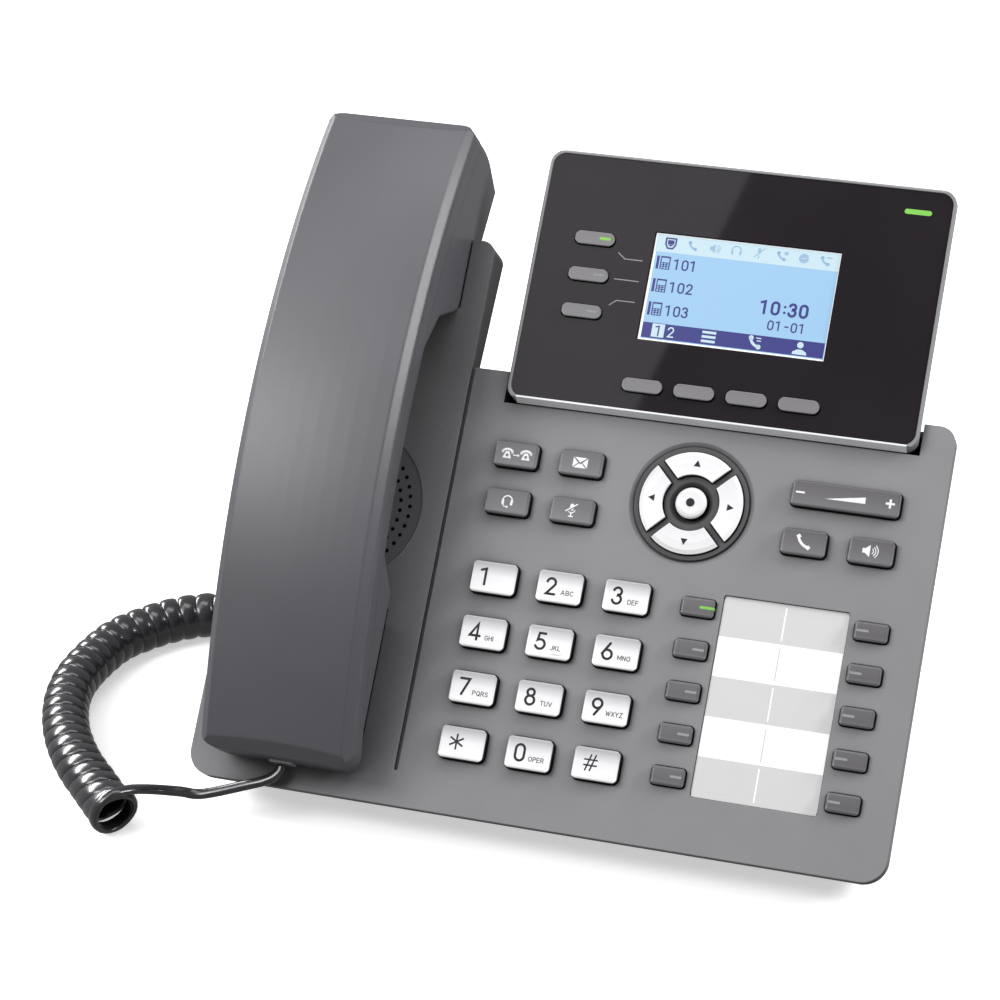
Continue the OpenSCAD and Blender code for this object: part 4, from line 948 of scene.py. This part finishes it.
def cord_path():
    """Points of the cord from the base's plug to the handset's, the side to which each point's broad face
    looks, and the numbers of the points where the coil starts and ends."""
    axis, length = resample(smooth([(x, y, OUTER) for x, y in reversed(COIL)], 12), AXIS_STEPS)
    path = smooth(TAIL, 4)
    looks = [SKY] * len(path)
    start = len(path)
    last = round(length / PITCH) * TURN_POINTS
    for k in range(last + 1):
        at = k / last * AXIS_STEPS
        i = min(int(at), AXIS_STEPS - 1)
        middle = axis[i].lerp(axis[i + 1], at - i)
        along = (axis[min(i + REACH, AXIS_STEPS)] - axis[max(i - REACH, 0)]).normalized()
        across = along.cross(SKY).normalized()
        angle = math.radians(90) + 2 * math.pi * (k - last) / TURN_POINTS
        open_up = min(1.0, k / (OPENING_TURNS * TURN_POINTS))
        ring = max(0.0, 1 - (last - k) / (LAST_TURNS * TURN_POINTS))
        wider = LAST_WIDER * ring
        r = (OUTER - THICK / 2) * (START_SHARE + (1 - START_SHARE) * open_up) + wider
        out = SKY * math.sin(angle) + across * math.cos(angle)
        lean = LEAN * at / AXIS_STEPS * (1 - ring) * r * math.sin(angle)
        path.append(middle + out * r + SKY * wider + along * lean)
        looks.append(out)
    end = len(path)
    path += smooth([path[-1]] + LEAD, 5)[1:]
    looks += [LEAD_FACE] * (len(path) - end)
    return path, looks, start, end


path, looks, coil_start, coil_end = cord_path()
points, faces = [], []
for i, q in enumerate(path):
    ahead = (path[min(i + 1, len(path) - 1)] - path[max(i - 1, 0)]).normalized()
    near = (looks[min(max(i + k, 0), len(looks) - 1)] for k in range(-3, 4))
    span = sum(near, Vector((0, 0, 0)))
    flat = (span - ahead * span.dot(ahead)).normalized()
    broad = ahead.cross(flat)
    inside = min(1.0, max(0.0, min(i - coil_start, coil_end - i) / WIDENING))
    w = LEAD_WIDE + (WIDE - LEAD_WIDE) * inside
    for k in range(RING):  # a flattened oval that is rounder on its outer side
        a = 2 * math.pi * k / RING
        ca, sa = math.cos(a), math.sin(a)
        bx = abs(ca) ** 0.85 * math.copysign(1, ca) * w / 2
        fy = abs(sa) ** (0.95 if sa > 0 else 0.6) * math.copysign(1, sa) * THICK / 2
        points.append((q + broad * bx + flat * fy) * MM)
for i in range(len(path) - 1):
    for k in range(RING):
        a, b = i * RING + k, i * RING + (k + 1) % RING
        faces.append((a, b, b + RING, a + RING))
faces.append(tuple(range(RING - 1, -1, -1)))
faces.append(tuple(range(len(points) - RING, len(points))))
mesh = bpy.data.meshes.new("handset_cord")
mesh.from_pydata(points, [], faces)
mesh.materials.append(cord_black.material)
for polygon in mesh.polygons:
    polygon.use_smooth = True
cord = added("handset_cord", mesh)
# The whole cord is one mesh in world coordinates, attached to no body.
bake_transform(cord)
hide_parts("cord_coil", "cord_leads")

# ---- Floor and light ----

FLOOR = -0.0003  # just under the feet, in m
floor_mesh = bpy.data.meshes.new("floor")
floor_mesh.from_pydata([(x, y, FLOOR) for x, y in ((-4, -4), (4, -4), (4, 6), (-4, 6))], [], [(0, 1, 2, 3)])
floor_paint = Paint("floor", 0.9, 0.1)
floor_paint.colour(floor_paint.ramp(floor_paint.noise(0.2, 2), [(0.3, grey(0.93)), (0.7, grey(0.95))]))
floor_paint.shader.inputs["Emission Color"].default_value = (1, 1, 1, 1)
floor_paint.shader.inputs["Emission Strength"].default_value = 0.5
floor_mesh.materials.append(floor_paint.material)
floor = added("floor", floor_mesh)
floor.visible_diffuse = False  # the floor glows, and would light the phone's sides from below
floor.visible_glossy = False


def area(name, centre, toward, up, width, height, radiance):
    """Rectangular soft light of a given radiance, unseen by the camera."""
    data = bpy.data.lights.new(name, "AREA")
    data.shape, data.size, data.size_y = "RECTANGLE", width, height
    data.energy = radiance * math.pi * width * height
    light = added(name, data)
    z = (centre - toward).normalized()
    x = up.cross(z).normalized()
    y = z.cross(x)
    light.matrix_world = Matrix((
        (x.x, y.x, z.x, centre.x), (x.y, y.y, z.y, centre.y), (x.z, y.z, z.z, centre.z), (0, 0, 0, 1),
    ))
    light.visible_camera = False


def mirrored(x, s, n, reach, normal=OUT):
    """Where a ray from the camera goes after a surface at x, s, n mirrors it."""
    at = deck(x, s, n)
    ray = (at - EYE).normalized()
    ray -= 2 * ray.dot(normal) * normal
    return at + ray * reach


HANDSET_MIDDLE, ARCH_R = 115.5, 273  # the arched face's middle up the deck, and its radius, in mm


def arch_normal(s, lean=0.0):
    """Outward direction of the handset's arched face, or of its edge when leaning to the right."""
    tilt = (s - HANDSET_MIDDLE) / ARCH_R
    up = OUT * math.cos(tilt) + UP * math.sin(tilt)
    return up * math.cos(math.radians(lean)) + RIGHT * math.sin(math.radians(lean))


# The panel light's right edge is what shows as the diagonal on the black panel. The key light lies
# further left in the same plane, where the handset's face mirrors it and the panel doesn't.
high, low = mirrored(38.3, 222.0, PANEL, 1.3), mirrored(19.4, 142.8, PANEL, 1.3)
edge = (high - low).normalized()
middle = (high + low) / 2
target = deck(0, 120, 0)
outward = edge.cross((middle - target).normalized()).normalized()
if outward.x > 0:
    outward = -outward
area("panel_light", middle + outward * 0.35, target, edge, 0.7, 1.2, 2.0)
key_edge = mirrored(-56, 100, 43, 1.3, arch_normal(100))
area("key_light", key_edge + outward * 0.45, target, edge, 0.9, 0.45, 7.5)
area("top_light", Vector((0.25, 0.2, 1.5)), target, RIGHT, 0.5, 1.6, 3.2)
# The strip is what the handset's right bevel mirrors; the left light makes the coil's highlights.
bevel = deck(-57, 150, 40)
low_end, high_end = (mirrored(-57, s, 40, 1.2, arch_normal(s, 45)) for s in (115, 205))
strip = high_end - low_end
area("strip_light", (low_end + high_end) / 2, bevel, strip.normalized(), 0.16, strip.length, 26.0)
COIL_MIDDLE, LEFT = Vector((-0.17, -0.05, 0.016)), Vector((-0.8, 0.38, 0.46))
area("left_light", COIL_MIDDLE + LEFT * 1.1, COIL_MIDDLE, SKY, 0.9, 0.3, 16.0)

world = bpy.data.worlds.new("studio")
world.use_nodes = True
studio = world.node_tree.nodes["Background"]
studio.inputs["Color"].default_value = (1, 1, 1, 1)
studio.inputs["Strength"].default_value = 0.3
bpy.context.scene.world = world
bpy.context.scene.view_settings.view_transform = "Standard"
